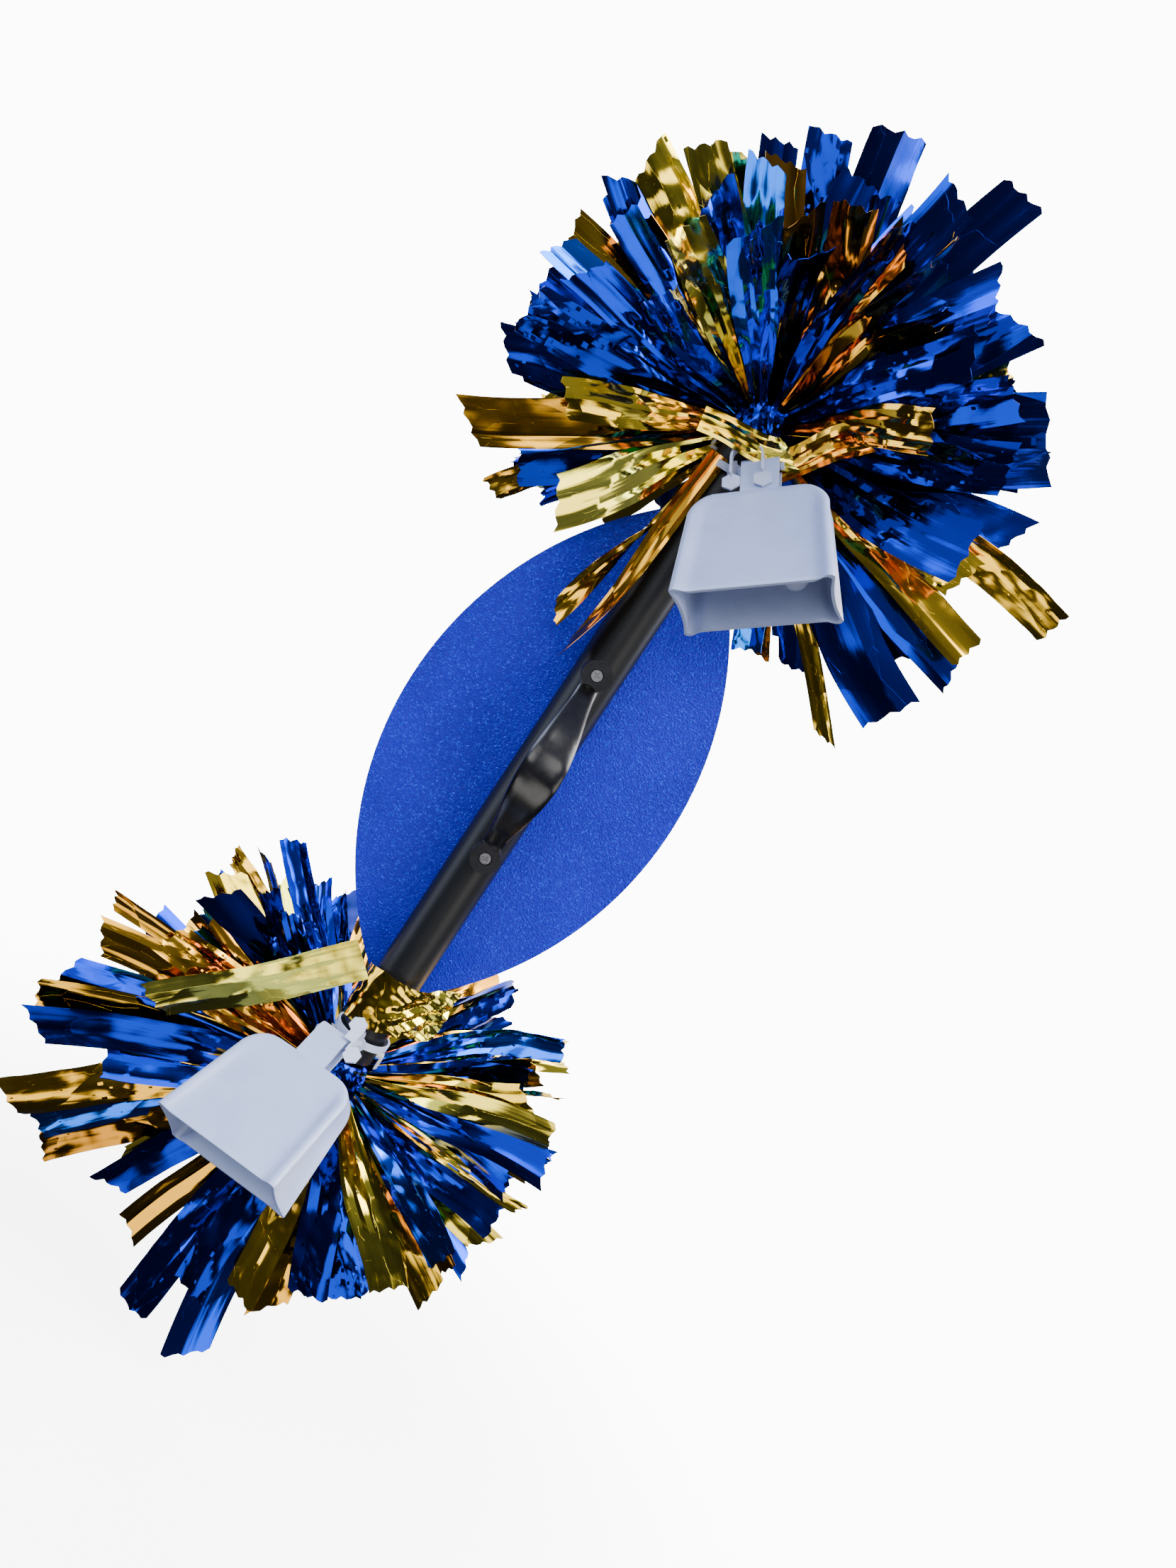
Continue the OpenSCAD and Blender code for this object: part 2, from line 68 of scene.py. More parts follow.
class Wire:
    """A node socket that takes part in Python arithmetic; each operator adds a Math node."""

    def __init__(self, tree: bpy.types.NodeTree, socket: bpy.types.NodeSocket) -> None:
        """Keeps the tree and the socket.

        Args:
            tree: Node tree that the socket belongs to.
            socket: Output socket that carries the value.
        """
        self.tree = tree
        self.socket = socket

    def _math(self, operation: str, first: Any, second: Any, clamp: bool = False) -> "Wire":
        """Adds one Math node.

        Args:
            operation: Name of the operation.
            first: Wire or number on the left.
            second: Wire or number on the right.
            clamp: True to hold the result between 0 and 1.

        Returns:
            The node's result.
        """
        made = self.tree.nodes.new("ShaderNodeMath")
        made.operation = operation
        made.use_clamp = clamp
        for index, value in enumerate((first, second)):
            if isinstance(value, Wire):
                self.tree.links.new(value.socket, made.inputs[index])
            else:
                made.inputs[index].default_value = float(value)
        return Wire(self.tree, made.outputs[0])

    def __add__(self, other: Any) -> "Wire":
        """Sum."""
        return self._math("ADD", self, other)

    def __sub__(self, other: Any) -> "Wire":
        """Difference."""
        return self._math("SUBTRACT", self, other)

    def __rsub__(self, other: Any) -> "Wire":
        """Difference, reflected."""
        return self._math("SUBTRACT", other, self)

    def __mul__(self, other: Any) -> "Wire":
        """Product."""
        return self._math("MULTIPLY", self, other)

    def above(self, level: float) -> "Wire":
        """1 where the value is over the level, otherwise 0."""
        return self._math("GREATER_THAN", self, level)

    def held(self) -> "Wire":
        """The value held between 0 and 1."""
        return self._math("ADD", self, 0.0, clamp=True)


class Graph:
    """Builds the node tree of one material or of the world."""

    def __init__(self, tree: bpy.types.NodeTree) -> None:
        """Empties the tree.

        Args:
            tree: Node tree to fill.
        """
        self.tree = tree
        tree.nodes.clear()

    def node(
        self, kind: str, settings: dict[str, Any], sockets: dict[Any, Any], out: Any = 0
    ) -> Wire:
        """Makes any node: its settings first, then its sockets.

        Args:
            kind: Node type without the ShaderNode prefix.
            settings: Attribute values; "stops" sets the stops of a colour ramp.
            sockets: Socket names or numbers, with their values or wires.
            out: Name or number of the output to return.

        Returns:
            The wanted output.
        """
        made = self.tree.nodes.new("ShaderNode" + kind)
        for name, value in settings.items():
            if name == "stops":
                self._set_stops(made.color_ramp, value)
            else:
                setattr(made, name, value)
        for name, value in sockets.items():
            if isinstance(value, Wire):
                self.tree.links.new(value.socket, made.inputs[name])
            elif isinstance(value, (tuple, list)):
                wanted = len(made.inputs[name].default_value)
                filled = (*value, 1.0)[:wanted] if len(value) < wanted else value
                made.inputs[name].default_value = filled
            else:
                made.inputs[name].default_value = value
        return Wire(self.tree, made.outputs[out] if len(made.outputs) else None)

    @staticmethod
    def _set_stops(ramp: Any, stops: Sequence[tuple[float, Colour]]) -> None:
        """Puts stops in a colour ramp.

        Args:
            ramp: The ramp.
            stops: Place and colour of each stop, in order.
        """
        while len(ramp.elements) < len(stops):
            ramp.elements.new(1.0)
        for element, (place, colour) in zip(ramp.elements, stops):
            element.position = place
            element.color = (*colour, 1.0)

    def place(self) -> Wire:
        """Object coordinates in metres."""
        return self.node("TexCoord", {}, {}, "Object")

    def stretched(self, scale: Colour) -> Wire:
        """Object coordinates scaled by axis.

        Args:
            scale: Factor along each axis.

        Returns:
            The scaled coordinates.
        """
        return self.node("Mapping", {}, {"Vector": self.place(), "Scale": scale})

    def noise(self, where: Wire, scale: float, detail: float = 2.0, rough: float = 0.5) -> Wire:
        """Noise value near 0.5.

        Args:
            where: Coordinates.
            scale: Cycles per metre.
            detail: Octaves.
            rough: Strength of the higher octaves.

        Returns:
            The noise.
        """
        sockets = {"Vector": where, "Scale": scale, "Detail": detail, "Roughness": rough}
        return self.node("TexNoise", {}, sockets, "Fac")

    def cells(self, where: Wire, scale: float, out: str = "Distance") -> Wire:
        """Voronoi cells.

        Args:
            where: Coordinates.
            scale: Cells per metre.
            out: Output to return.

        Returns:
            The wanted output.
        """
        return self.node("TexVoronoi", {}, {"Vector": where, "Scale": scale}, out)

    def vector(self, operation: str, sockets: dict[Any, Any], out: Any = 0) -> Wire:
        """Adds one Vector Math node.

        Args:
            operation: Name of the operation.
            sockets: Socket names or numbers, with their values or wires.
            out: Name or number of the output to return.

        Returns:
            The wanted output.
        """
        return self.node("VectorMath", {"operation": operation}, sockets, out)

    def ramp(self, value: Wire, stops: Sequence[tuple[float, Colour]]) -> Wire:
        """Colour from a value.

        Args:
            value: Place along the ramp.
            stops: Place and colour of each stop.

        Returns:
            The colour.
        """
        return self.node("ValToRGB", {"stops": stops}, {"Fac": value})

    def mix(self, share: Any, first: Any, second: Any) -> Wire:
        """Mixes two colours.

        Args:
            share: 0 for the first, 1 for the second.
            first: Colour or wire.
            second: Colour or wire.

        Returns:
            The mixed colour.
        """
        return self.node("Mix", {"data_type": "RGBA"}, {0: share, 6: first, 7: second}, 2)

    def step(self, value: Wire, low: float, high: float) -> Wire:
        """Smooth step from 0 at low to 1 at high."""
        sockets = {"Value": value, "From Min": low, "From Max": high}
        return self.node("MapRange", {"interpolation_type": "SMOOTHSTEP"}, sockets)

    def bump(self, height: Wire, strength: float, depth: float, below: Wire | None = None) -> Wire:
        """Bump normal.

        Args:
            height: Height value.
            strength: Share of the effect.
            depth: Depth in metres for a height of 1.
            below: Normal of a coarser bump.

        Returns:
            The normal.
        """
        sockets: dict[Any, Any] = {"Strength": strength, "Distance": depth, "Height": height}
        if below is not None:
            sockets["Normal"] = below
        return self.node("Bump", {}, sockets)

    def surface(self, sockets: dict[str, Any]) -> None:
        """Ends the tree with a Principled BSDF.

        Args:
            sockets: Values and wires of the shader.
        """
        shader = self.node("BsdfPrincipled", {}, sockets)
        self.node("OutputMaterial", {}, {"Surface": shader})


def new_graph(name: str) -> tuple[bpy.types.Material, Graph]:
    """A new material and the builder of its nodes."""
    material = bpy.data.materials.new(name)
    material.use_nodes = True
    return material, Graph(material.node_tree)


# ---------- finishes ----------


@dataclass(frozen=True)
class FoilFinish:
    """Metallised film: a strip's tone picks its colour from a dark to a light copy of the foil, partly
    painted reflection, and long facets and streaks break its gloss.
    """

    name: str
    stops: tuple[tuple[float, Colour], ...]
    roughness: float = 0.10
    facets: float = 62.0
    tilt: float = 0.62
    stretch: float = 0.34
    warp: float = 0.003
    streak: float = 0.0005
    cloud: float = 0.22

    def facet_height(self, graph: Graph, where: Wire, scale: float) -> Wire:
        """Height of crumpled film: each cell is a flat facet with its own lean.

        The height is the dot product of the cell's random vector and the way from its middle.

        Args:
            graph: Node builder.
            where: Film coordinates in metres.
            scale: Cells per metre.

        Returns:
            The height in metres.
        """
        sockets = {"Vector": where, "Scale": scale, "Randomness": 1.0}
        lean = graph.node("TexVoronoi", {}, sockets, "Color")
        middle = graph.node("TexVoronoi", {}, sockets, "Position")
        centred = graph.vector("SUBTRACT", {0: lean, 1: (0.5, 0.5, 0.5)})
        offset = graph.vector("SUBTRACT", {0: where, 1: middle})
        return graph.vector("DOT_PRODUCT", {0: centred, 1: offset}, "Value")

    def build(self) -> bpy.types.Material:
        """Makes the material."""
        material, graph = new_graph(self.name)
        tone = graph.node("Attribute", {"attribute_name": "tone"}, {}, "Fac")
        film = graph.node("Attribute", {"attribute_name": "film"}, {}, "Vector")
        patch = graph.noise(film, 30.0, 1.0)
        # painted reflection, in part: tone and a random cloud pick a darker or lighter copy of the foil
        shade = (tone + (patch - 0.5) * self.cloud).held()
        warp = graph.node("TexNoise", {}, {"Vector": film, "Scale": 60.0, "Detail": 1.0}, "Color")
        push = graph.vector("SCALE", {0: warp, "Scale": self.warp})
        bent = graph.vector("ADD", {0: film, 1: push})
        slim = graph.node("Mapping", {}, {"Vector": bent, "Scale": (1.0, self.stretch, 1.0)})
        crumple = graph.node("Attribute", {"attribute_name": "crumple"}, {}, "Fac")
        zone = graph.step(graph.noise(film, 28.0, 1.0), 0.52, 0.66) * crumple
        large_height = self.facet_height(graph, slim, self.facets) * (crumple * 0.9 + 0.1)
        large = graph.bump(large_height, 1.0, self.tilt)
        small_height = self.facet_height(graph, slim, self.facets * 2.3) * zone
        small = graph.bump(small_height, 1.0, self.tilt * 0.9, large)
        drawn = graph.node("Mapping", {}, {"Vector": film, "Scale": (1.0, 0.04, 1.0)})
        streaks = graph.bump(graph.noise(drawn, 260.0, 2.0), 0.35, self.streak, small)
        graph.surface({
            "Base Color": graph.ramp(shade, self.stops),
            "Metallic": 1.0,
            "Roughness": (patch * 0.12 + self.roughness - 0.05).held(),
            "Normal": streaks,
        })
        return material


@dataclass(frozen=True)
class MouldedFinish:
    """Moulded plastic: fine grain, faint cloudy colour, small specks and a soft gloss."""

    name: str
    colour: Colour
    shade: Colour
    roughness: float = 0.4
    speck: float = 0.0
    coat: float = 0.0
    grain: float = 2600.0
    grain_depth: float = 0.00006
    wave_depth: float = 0.0002

    def build(self) -> bpy.types.Material:
        """Makes the material."""
        material, graph = new_graph(self.name)
        where = graph.place()
        cloud = graph.noise(where, 45.0, 3.0, 0.6)
        base = graph.mix(graph.step(cloud, 0.35, 0.7), self.colour, self.shade)
        if self.speck:
            dots = 1.0 - graph.step(graph.cells(where, 260.0), 0.05, 0.11)
            some = graph.cells(where, 260.0, "Color")
            chosen = graph.node("SeparateColor", {}, {"Color": some}, "Red").above(0.72)
            base = graph.mix(dots * chosen * self.speck, base, tuple(c * 0.35 for c in self.shade))
        wave = graph.bump(graph.noise(where, 90.0, 2.0), 0.35, self.wave_depth)
        grain = graph.bump(graph.noise(where, self.grain, 2.0), 0.5, self.grain_depth, wave)
        graph.surface({
            "Base Color": base,
            "Roughness": (graph.noise(where, 400.0, 2.0) * 0.14 + self.roughness - 0.07).held(),
            "Coat Weight": self.coat,
            "Coat Roughness": 0.18,
            "Normal": grain,
        })
        return material


@dataclass(frozen=True)
class TubeFinish:
    """Satin black pipe: drawn lines along its length, light scuffs and dust."""

    name: str = "tube_satin_black"
    colour: Colour = (0.0045, 0.005, 0.0065)
    scuff: Colour = (0.03, 0.031, 0.034)
    roughness: float = 0.4

    def build(self) -> bpy.types.Material:
        """Makes the material."""
        material, graph = new_graph(self.name)
        where = graph.place()
        along = graph.stretched((1.0, 1.0, 0.03))
        lines = graph.noise(along, 1400.0, 3.0, 0.6)
        worn = graph.step(graph.noise(where, 60.0, 5.0, 0.7), 0.56, 0.72)
        scratch = graph.step(graph.noise(graph.stretched((1.0, 1.0, 0.09)), 700.0, 2.0), 0.66, 0.72)
        mark = (scratch * worn * 0.8).held()
        dust = (1.0 - graph.step(graph.cells(where, 320.0), 0.04, 0.09)) * worn
        base = graph.mix((mark + dust * 0.6).held(), self.colour, self.scuff)
        normal = graph.bump(lines, 0.25, 0.00006, graph.bump(graph.noise(where, 55.0, 1.0), 0.3, 0.0002))
        graph.surface({
            "Base Color": base,
            "Roughness": (lines * 0.1 + mark * 0.2 + self.roughness - 0.05).held(),
            "Specular IOR Level": 0.35,
            "Normal": normal,
        })
        return material


@dataclass(frozen=True)
class GlintPanelFinish:
    """Blue textured sheet: a deep blue coat over small cells that each lean their own way; the chosen
    cells are painted a lighter blue as glints, and get a little metal and less roughness.
    """

    name: str = "panel_blue_painted_glints"
    colour: Colour = (0.004, 0.006, 0.46)
    deep: Colour = (0.002, 0.003, 0.31)
    # lighter blue painted on the chosen cells as glints
    glint_colour: Colour = (0.02, 0.07, 0.9)
    roughness: float = 0.42
    glint_cells: float = 1500.0

    def build(self) -> bpy.types.Material:
        """Makes the material."""
        material, graph = new_graph(self.name)
        where = graph.place()
        cell = graph.cells(where, self.glint_cells, "Color")
        pick = graph.node("SeparateColor", {}, {"Color": cell}, "Red")
        # painted glints: the chosen cells get the lighter blue, a little metal and less roughness
        bright = graph.step(pick, 0.72, 0.98)
        cloud = graph.step(graph.noise(where, 30.0, 3.0), 0.35, 0.7)
        base = graph.mix(bright * 0.75, graph.mix(cloud * 0.5, self.colour, self.deep), self.glint_colour)
        lean = graph.bump(graph.cells(where, self.glint_cells * 0.8), 0.55, 0.0005)
        pebble = graph.bump(graph.noise(where, 700.0, 2.0), 0.5, 0.00025, lean)
        graph.surface({
            "Base Color": base,
            "Metallic": (bright * 0.55).held(),
            "Roughness": (self.roughness - bright * 0.16).held(),
            "Specular IOR Level": 0.25,
            "Normal": pebble,
        })
        return material


@dataclass(frozen=True)
class SteelFinish:
    """Plated steel: turned marks, a little tarnish in patches."""

    name: str
    colour: Colour
    tarnish: Colour
    roughness: float = 0.3

    def build(self) -> bpy.types.Material:
        """Makes the material."""
        material, graph = new_graph(self.name)
        where = graph.place()
        patch = graph.step(graph.noise(where, 420.0, 4.0, 0.65), 0.42, 0.68)
        turned = graph.noise(graph.stretched((1.0, 4.0, 1.0)), 1900.0, 2.0)
        graph.surface({
            "Base Color": graph.mix(patch, self.colour, self.tarnish),
            "Metallic": 1.0,
            "Roughness": (patch * 0.22 + self.roughness).held(),
            "Normal": graph.bump(turned, 0.4, 0.00006),
        })
        return material


# Stops from a dark to a light copy of each foil: the dark and light ends stand partly for dark and bright
# surroundings that the foil reflects, so they are painted reflection as well as the foil's own colour.
BLUE_FOIL = FoilFinish("foil_metal_blue", (
    (0.0, (0.0015, 0.010, 0.13)), (0.35, (0.001, 0.020, 0.42)), (0.62, (0.001, 0.045, 0.78)),
    (0.82, (0.001, 0.12, 0.92)), (1.0, (0.001, 0.24, 0.98))))
GOLD_FOIL = FoilFinish("foil_metal_gold", (
    (0.0, (0.38, 0.14, 0.010)), (0.3, (0.72, 0.36, 0.020)), (0.6, (0.95, 0.60, 0.035)),
    (0.85, (1.0, 0.77, 0.07)), (1.0, (1.0, 0.87, 0.12))), cloud=0.3)
BELL_PLASTIC = MouldedFinish(
    "bell_moulded_lavender", (0.36, 0.43, 0.68), (0.32, 0.385, 0.62), 0.36, speck=0.5, coat=0.1)
BAND_PLASTIC = MouldedFinish(
    "band_moulded_lavender", (0.38, 0.45, 0.69), (0.34, 0.41, 0.64), 0.34, speck=0.3, coat=0.1)
TIE_PLASTIC = MouldedFinish(
    "tie_milky_white", (0.46, 0.51, 0.70), (0.40, 0.45, 0.64), 0.26, coat=0.2)
NYLON = MouldedFinish("cable_tie_nylon", (0.60, 0.62, 0.66), (0.52, 0.54, 0.58), 0.35)
GRIP_VINYL = MouldedFinish(
    "grip_gloss_black", (0.004, 0.004, 0.006), (0.008, 0.008, 0.010), 0.24,
    coat=0.15, grain=1400.0, grain_depth=0.00003, wave_depth=0.0001)
CAP_PLASTIC = MouldedFinish(
    "cap_satin_black", (0.006, 0.006, 0.008), (0.012, 0.012, 0.014), 0.3,
    speck=0.2, coat=0.1, grain_depth=0.00003, wave_depth=0.00005)
SCREW_STEEL = SteelFinish("screw_dark_steel", (0.42, 0.42, 0.44), (0.20, 0.20, 0.21), 0.3)
ZINC_STEEL = SteelFinish("washer_zinc_steel", (0.58, 0.59, 0.60), (0.36, 0.36, 0.37), 0.3)


# ---------- meshes ----------


def smooth_step(low: float, high: float, value: np.ndarray) -> np.ndarray:
    """Cubic step: 0 below low, 1 above high, and 3t^2 - 2t^3 between them."""
    share = np.clip((value - low) / (high - low), 0.0, 1.0)
    return share * share * (3.0 - 2.0 * share)


def triangle_wave(value: np.ndarray) -> np.ndarray:
    """Triangle wave of period 1 from -1 to 1: four times the distance to the nearest integer, less 1."""
    return 4.0 * np.abs(value - np.floor(value + 0.5)) - 1.0


def unit(vectors: np.ndarray) -> np.ndarray:
    """Vectors divided by their lengths along the last axis."""
    return vectors / np.maximum(np.linalg.norm(vectors, axis=-1, keepdims=True), 1e-9)


def grid_quads(rows: int, columns: int, wrap: bool = False) -> np.ndarray:
    """Quads of a grid, turned so that rows x columns points outwards.

    Args:
        rows: Points along the first parameter.
        columns: Points along the second parameter.
        wrap: True if the last column joins the first.

    Returns:
        Array of four vertex numbers a quad.
    """
    last = columns if wrap else columns - 1
    row, column = np.meshgrid(np.arange(rows - 1), np.arange(last), indexing="ij")
    after = (column + 1) % columns
    return np.stack([row * columns + column, (row + 1) * columns + column,
                     (row + 1) * columns + after, row * columns + after], -1).reshape(-1, 4)


def sheet_quads(rows: int, columns: int, flip: bool = False) -> np.ndarray:
    """Quads of a closed sheet: a front grid, a back grid and the edge between them.

    Args:
        rows: Points along the first parameter.
        columns: Points along the second parameter.
        flip: True to turn every quad over.

    Returns:
        Array of four vertex numbers a quad; the back grid's numbers follow the front's.
    """
    size = rows * columns
    front = grid_quads(rows, columns)
    index = np.arange(size).reshape(rows, columns)
    edge = np.concatenate([index[0, :-1], index[:-1, -1], index[-1, :0:-1], index[:0:-1, 0]])
    following = np.roll(edge, -1)
    sides = np.stack([edge, following, following + size, edge + size], -1)
    if flip:
        front, sides = front[:, ::-1], np.roll(sides[:, ::-1], 1, axis=1)
    return np.concatenate([front, front[:, ::-1] + size, sides])


def make_piece(
    name: str, points: np.ndarray, quads: np.ndarray, material: bpy.types.Material,
    sharp: float = 35.0, caps: Sequence[np.ndarray] = ()
) -> bpy.types.Object:
    """Puts a mesh in the scene.

    Args:
        name: Piece name.
        points: Places in millimetres.
        quads: Vertex numbers of the quads.
        material: Material of the whole piece.
        sharp: Edges steeper than this angle in degrees stay crisp.
        caps: Rings of vertex numbers to close with one face each.

    Returns:
        The new object.
    """
    flat = points.reshape(-1, 3) * MM
    mesh = bpy.data.meshes.new(name)
    if len(caps):
        faces = [tuple(int(i) for i in face) for face in quads]
        faces += [tuple(int(i) for i in ring) for ring in caps]
        mesh.from_pydata(flat.tolist(), [], faces)
    else:
        mesh.vertices.add(len(flat))
        mesh.vertices.foreach_set("co", flat.astype(np.float32).ravel())
        mesh.loops.add(quads.size)
        mesh.loops.foreach_set("vertex_index", quads.astype(np.int32).ravel())
        mesh.polygons.add(len(quads))
        mesh.polygons.foreach_set("loop_start", np.arange(0, quads.size, 4, dtype=np.int32))
    mesh.update(calc_edges=True)
    mesh.shade_smooth()
    mesh.set_sharp_from_angle(angle=math.radians(sharp))
    mesh.validate()
    mesh.materials.append(material)
    made = bpy.data.objects.new(name, mesh)
    bpy.context.scene.collection.objects.link(made)
    return made


def mark_film(made: bpy.types.Object, tone: np.ndarray, film: np.ndarray, crumple: np.ndarray) -> None:
    """Stores what the foil material reads at each point.

    Args:
        made: Foil piece.
        tone: Tone from 0 to 1.
        film: Place on the flat film in millimetres: across, along, and a different depth a strip.
        crumple: How crumpled the film is, from 0 to 1.
    """
    for name, values in (("tone", tone), ("crumple", crumple)):
        mark = made.data.attributes.new(name, "FLOAT", "POINT")
        mark.data.foreach_set("value", values.astype(np.float32).ravel())
    place = made.data.attributes.new("film", "FLOAT_VECTOR", "POINT")
    place.data.foreach_set("vector", (film * MM).astype(np.float32).ravel())


def turn(axis: str, degrees: float) -> np.ndarray:
    """Rotation matrix about one axis."""
    return np.array(Matrix.Rotation(math.radians(degrees), 3, axis))


# ---------- foil strips ----------


class Foil(Enum):
    """Colour families of the strips."""

    BLUE = "blue"
    GOLD = "gold"


@dataclass(frozen=True)
class Strip:
    """One listed strip: clock angle from the tube's upward axis, reach in mm, lean forwards."""

    clock: float
    reach: float
    lean: float
    foil: Foil
    tone: float
    half_width: float = 9.0
    facing: float = 0.0
    twist: float = 0.0
    sag: float = 0.0
    start: tuple[float, float, float] = (0.0, 0.0, 0.0)
    throat: float = 0.34


class Draw(IntEnum):
    """Columns of a strip's random draws; LEAN, WARP and PHASE start a run of one for each crease."""

    BEND = 0
    SWAY = 1
    WAVER = 2
    KINK_PLACE = 3
    KINK_DEPTH = 4
    KINK_SIDE = 5
    PLEAT_COUNT = 6
    PLEAT_SHIFT = 7
    FOLD_DEPTH = 8
    FOLD_PLACE = 9
    CURL = 10
    RUMPLE = 11
    LEAN = 12
    WARP = 16
    PHASE = 20
    CUT = 24
    CUT_SHIFT = 25


GOLDEN_ANGLE = 137.508
B, G = Foil.BLUE, Foil.GOLD
# The fifth value of each strip is its tone: how dark or light its foil is painted, partly as painted
# reflection.
UPPER_STRIPS = (
    Strip(-60, 112, 18, G, 0.75, 9), Strip(-49, 106, 26, G, 0.85, 8), Strip(-41, 104, 15, G, 0.9, 9),
    Strip(-37, 98, 22, B, 0.86, 8), Strip(-31, 101, 10, G, 0.12, 8), Strip(-21, 115, 5, B, 0.12, 9),
    Strip(-6, 122, 8, B, 0.05, 12), Strip(5, 112, 18, B, 0.5, 9), Strip(16, 132, 12, B, 0.2, 9.5),
    Strip(12, 93, 38, G, 0.25, 9, 20, 60), Strip(31, 102, 14, B, 0.45, 9), Strip(44, 101, 10, G, 0.6, 8),
    Strip(63, 113, 20, B, 0.03, 21), Strip(81, 116, 6, B, 0.4, 9),
    Strip(84, 152, 6, G, 0.5, 8.5, 10, 15, 14), Strip(102, 128, 2, G, 0.5, 8),
    Strip(108, 132, 0, B, 0.4, 9), Strip(121, 130, -2, B, 0.3, 13),
    Strip(132, 130, -4, G, 0.5, 4), Strip(-68, 109, 10, B, 0.45, 9), Strip(-80, 107, 5, G, 0.4, 9),
    Strip(-84, 110, 12, B, 0.84, 8), Strip(-93, 106, 9, B, 0.4, 9), Strip(-100, 108, 14, B, 0.15, 10),
    Strip(-108, 109, 4, B, 0.3, 9), Strip(-123, 119, 1, G, 0.3, 10), Strip(-133, 99, -2, B, 0.1, 9),
    Strip(-116, 83, 20, G, 0.65, 8), Strip(-142, 89, 2, G, 0.97, 11),
    Strip(-165, 113, 4, G, 0.4, 4.5, 0, 200),
    Strip(-63, 81, 40, G, 0.8, 9), Strip(-47, 72, 46, B, 0.9, 10), Strip(-32, 73, 44, G, 0.15, 9),
    Strip(62, 62, 44, G, 0.35, 9), Strip(92, 98, 22, B, 0.15, 13), Strip(70, 96, 30, B, 0.3, 10),
    Strip(40, 78, 44, B, 0.5, 9, 20), Strip(-8, 76, 48, B, 0.4, 9, 30),
    Strip(-80, 70, 36, B, 0.45, 9, 20),
    Strip(81, 45, 4, G, 0.85, 6.5, -8, 30, 0, (-30, -19, -14), 0.8),
    Strip(36, 48, 8, G, 0.3, 8, 20, 0, 0, (8, -21, -19), 0.7),
    Strip(-176, 106, 0, G, 0.2, 5, 20, 60, 0, (-8, -11, -12), 0.8),
    Strip(93, 96, 8, G, 0.6, 11, 0, 0, 0, (8, -4, 0)),
    Strip(-57, 98, 12, B, 0.3, 8), Strip(-72, 100, 14, B, 0.5, 8), Strip(-88, 96, 16, B, 0.4, 8),
    Strip(24, 104, 20, B, 0.35, 8), Strip(38, 108, 18, B, 0.25, 9), Strip(50, 98, 24, B, 0.35, 9),
    Strip(-14, 100, 14, B, 0.3, 9), Strip(-53, 90, 30, B, 0.35, 8), Strip(68, 112, 10, B, 0.3, 9),
)
LOWER_STRIPS = (
    Strip(-172, 149, -3, B, 0.45, 9.5), Strip(177, 147, -2, B, 0.62, 10), Strip(162, 116, -2, G, 0.3, 9),
    Strip(147, 108, 0, B, 0.35, 9), Strip(129, 112, 2, G, 0.5, 10), Strip(123, 111, -2, G, 0.1, 6),
    Strip(102, 98, 9, B, 0.4, 9), Strip(95, 103, 10, G, 0.75, 4), Strip(77, 102, 12, B, 0.4, 9.5),
    Strip(71, 100, 12, G, 0.9, 10), Strip(64, 88, 12, G, 0.7, 9), Strip(-126, 141, 0, G, 0.35, 10),
    Strip(-132, 136, -3, B, 0.86, 9), Strip(-141, 140, -5, G, 0.1, 7), Strip(-149, 113, -2, B, 0.3, 9),
    Strip(-162, 126, -6, G, 0.25, 8), Strip(-105, 131, 4, G, 0.4, 9), Strip(-87, 117, 5, G, 0.25, 8),
    Strip(-99, 125, 5, B, 0.4, 9), Strip(-109, 129, 6, B, 0.3, 9), Strip(-80, 122, 5, G, 0.2, 4),
    Strip(-78, 94, 5, G, 0.3, 8), Strip(-44, 76, 4, B, 0.3, 5),
    Strip(-136, 96, 1, G, 0.97, 9.5, -17, 0, 0, (-13, -12, 59), 1.0),
    Strip(-118, 100, 3, B, 0.6, 10), Strip(115, 96, 8, B, 0.75, 9),
    Strip(108, 104, 4, G, 0.8, 8), Strip(140, 106, 3, B, 0.5, 8), Strip(154, 104, 4, B, 0.3, 9),
    Strip(170, 112, 2, G, 0.55, 8), Strip(-178, 118, 4, B, 0.2, 8), Strip(84, 96, 4, G, 0.3, 8),
    Strip(58, 84, 6, B, 0.45, 8), Strip(88, 90, 12, B, 0.5, 9, 20),
    Strip(136, 100, 8, G, 0.85, 9),
)


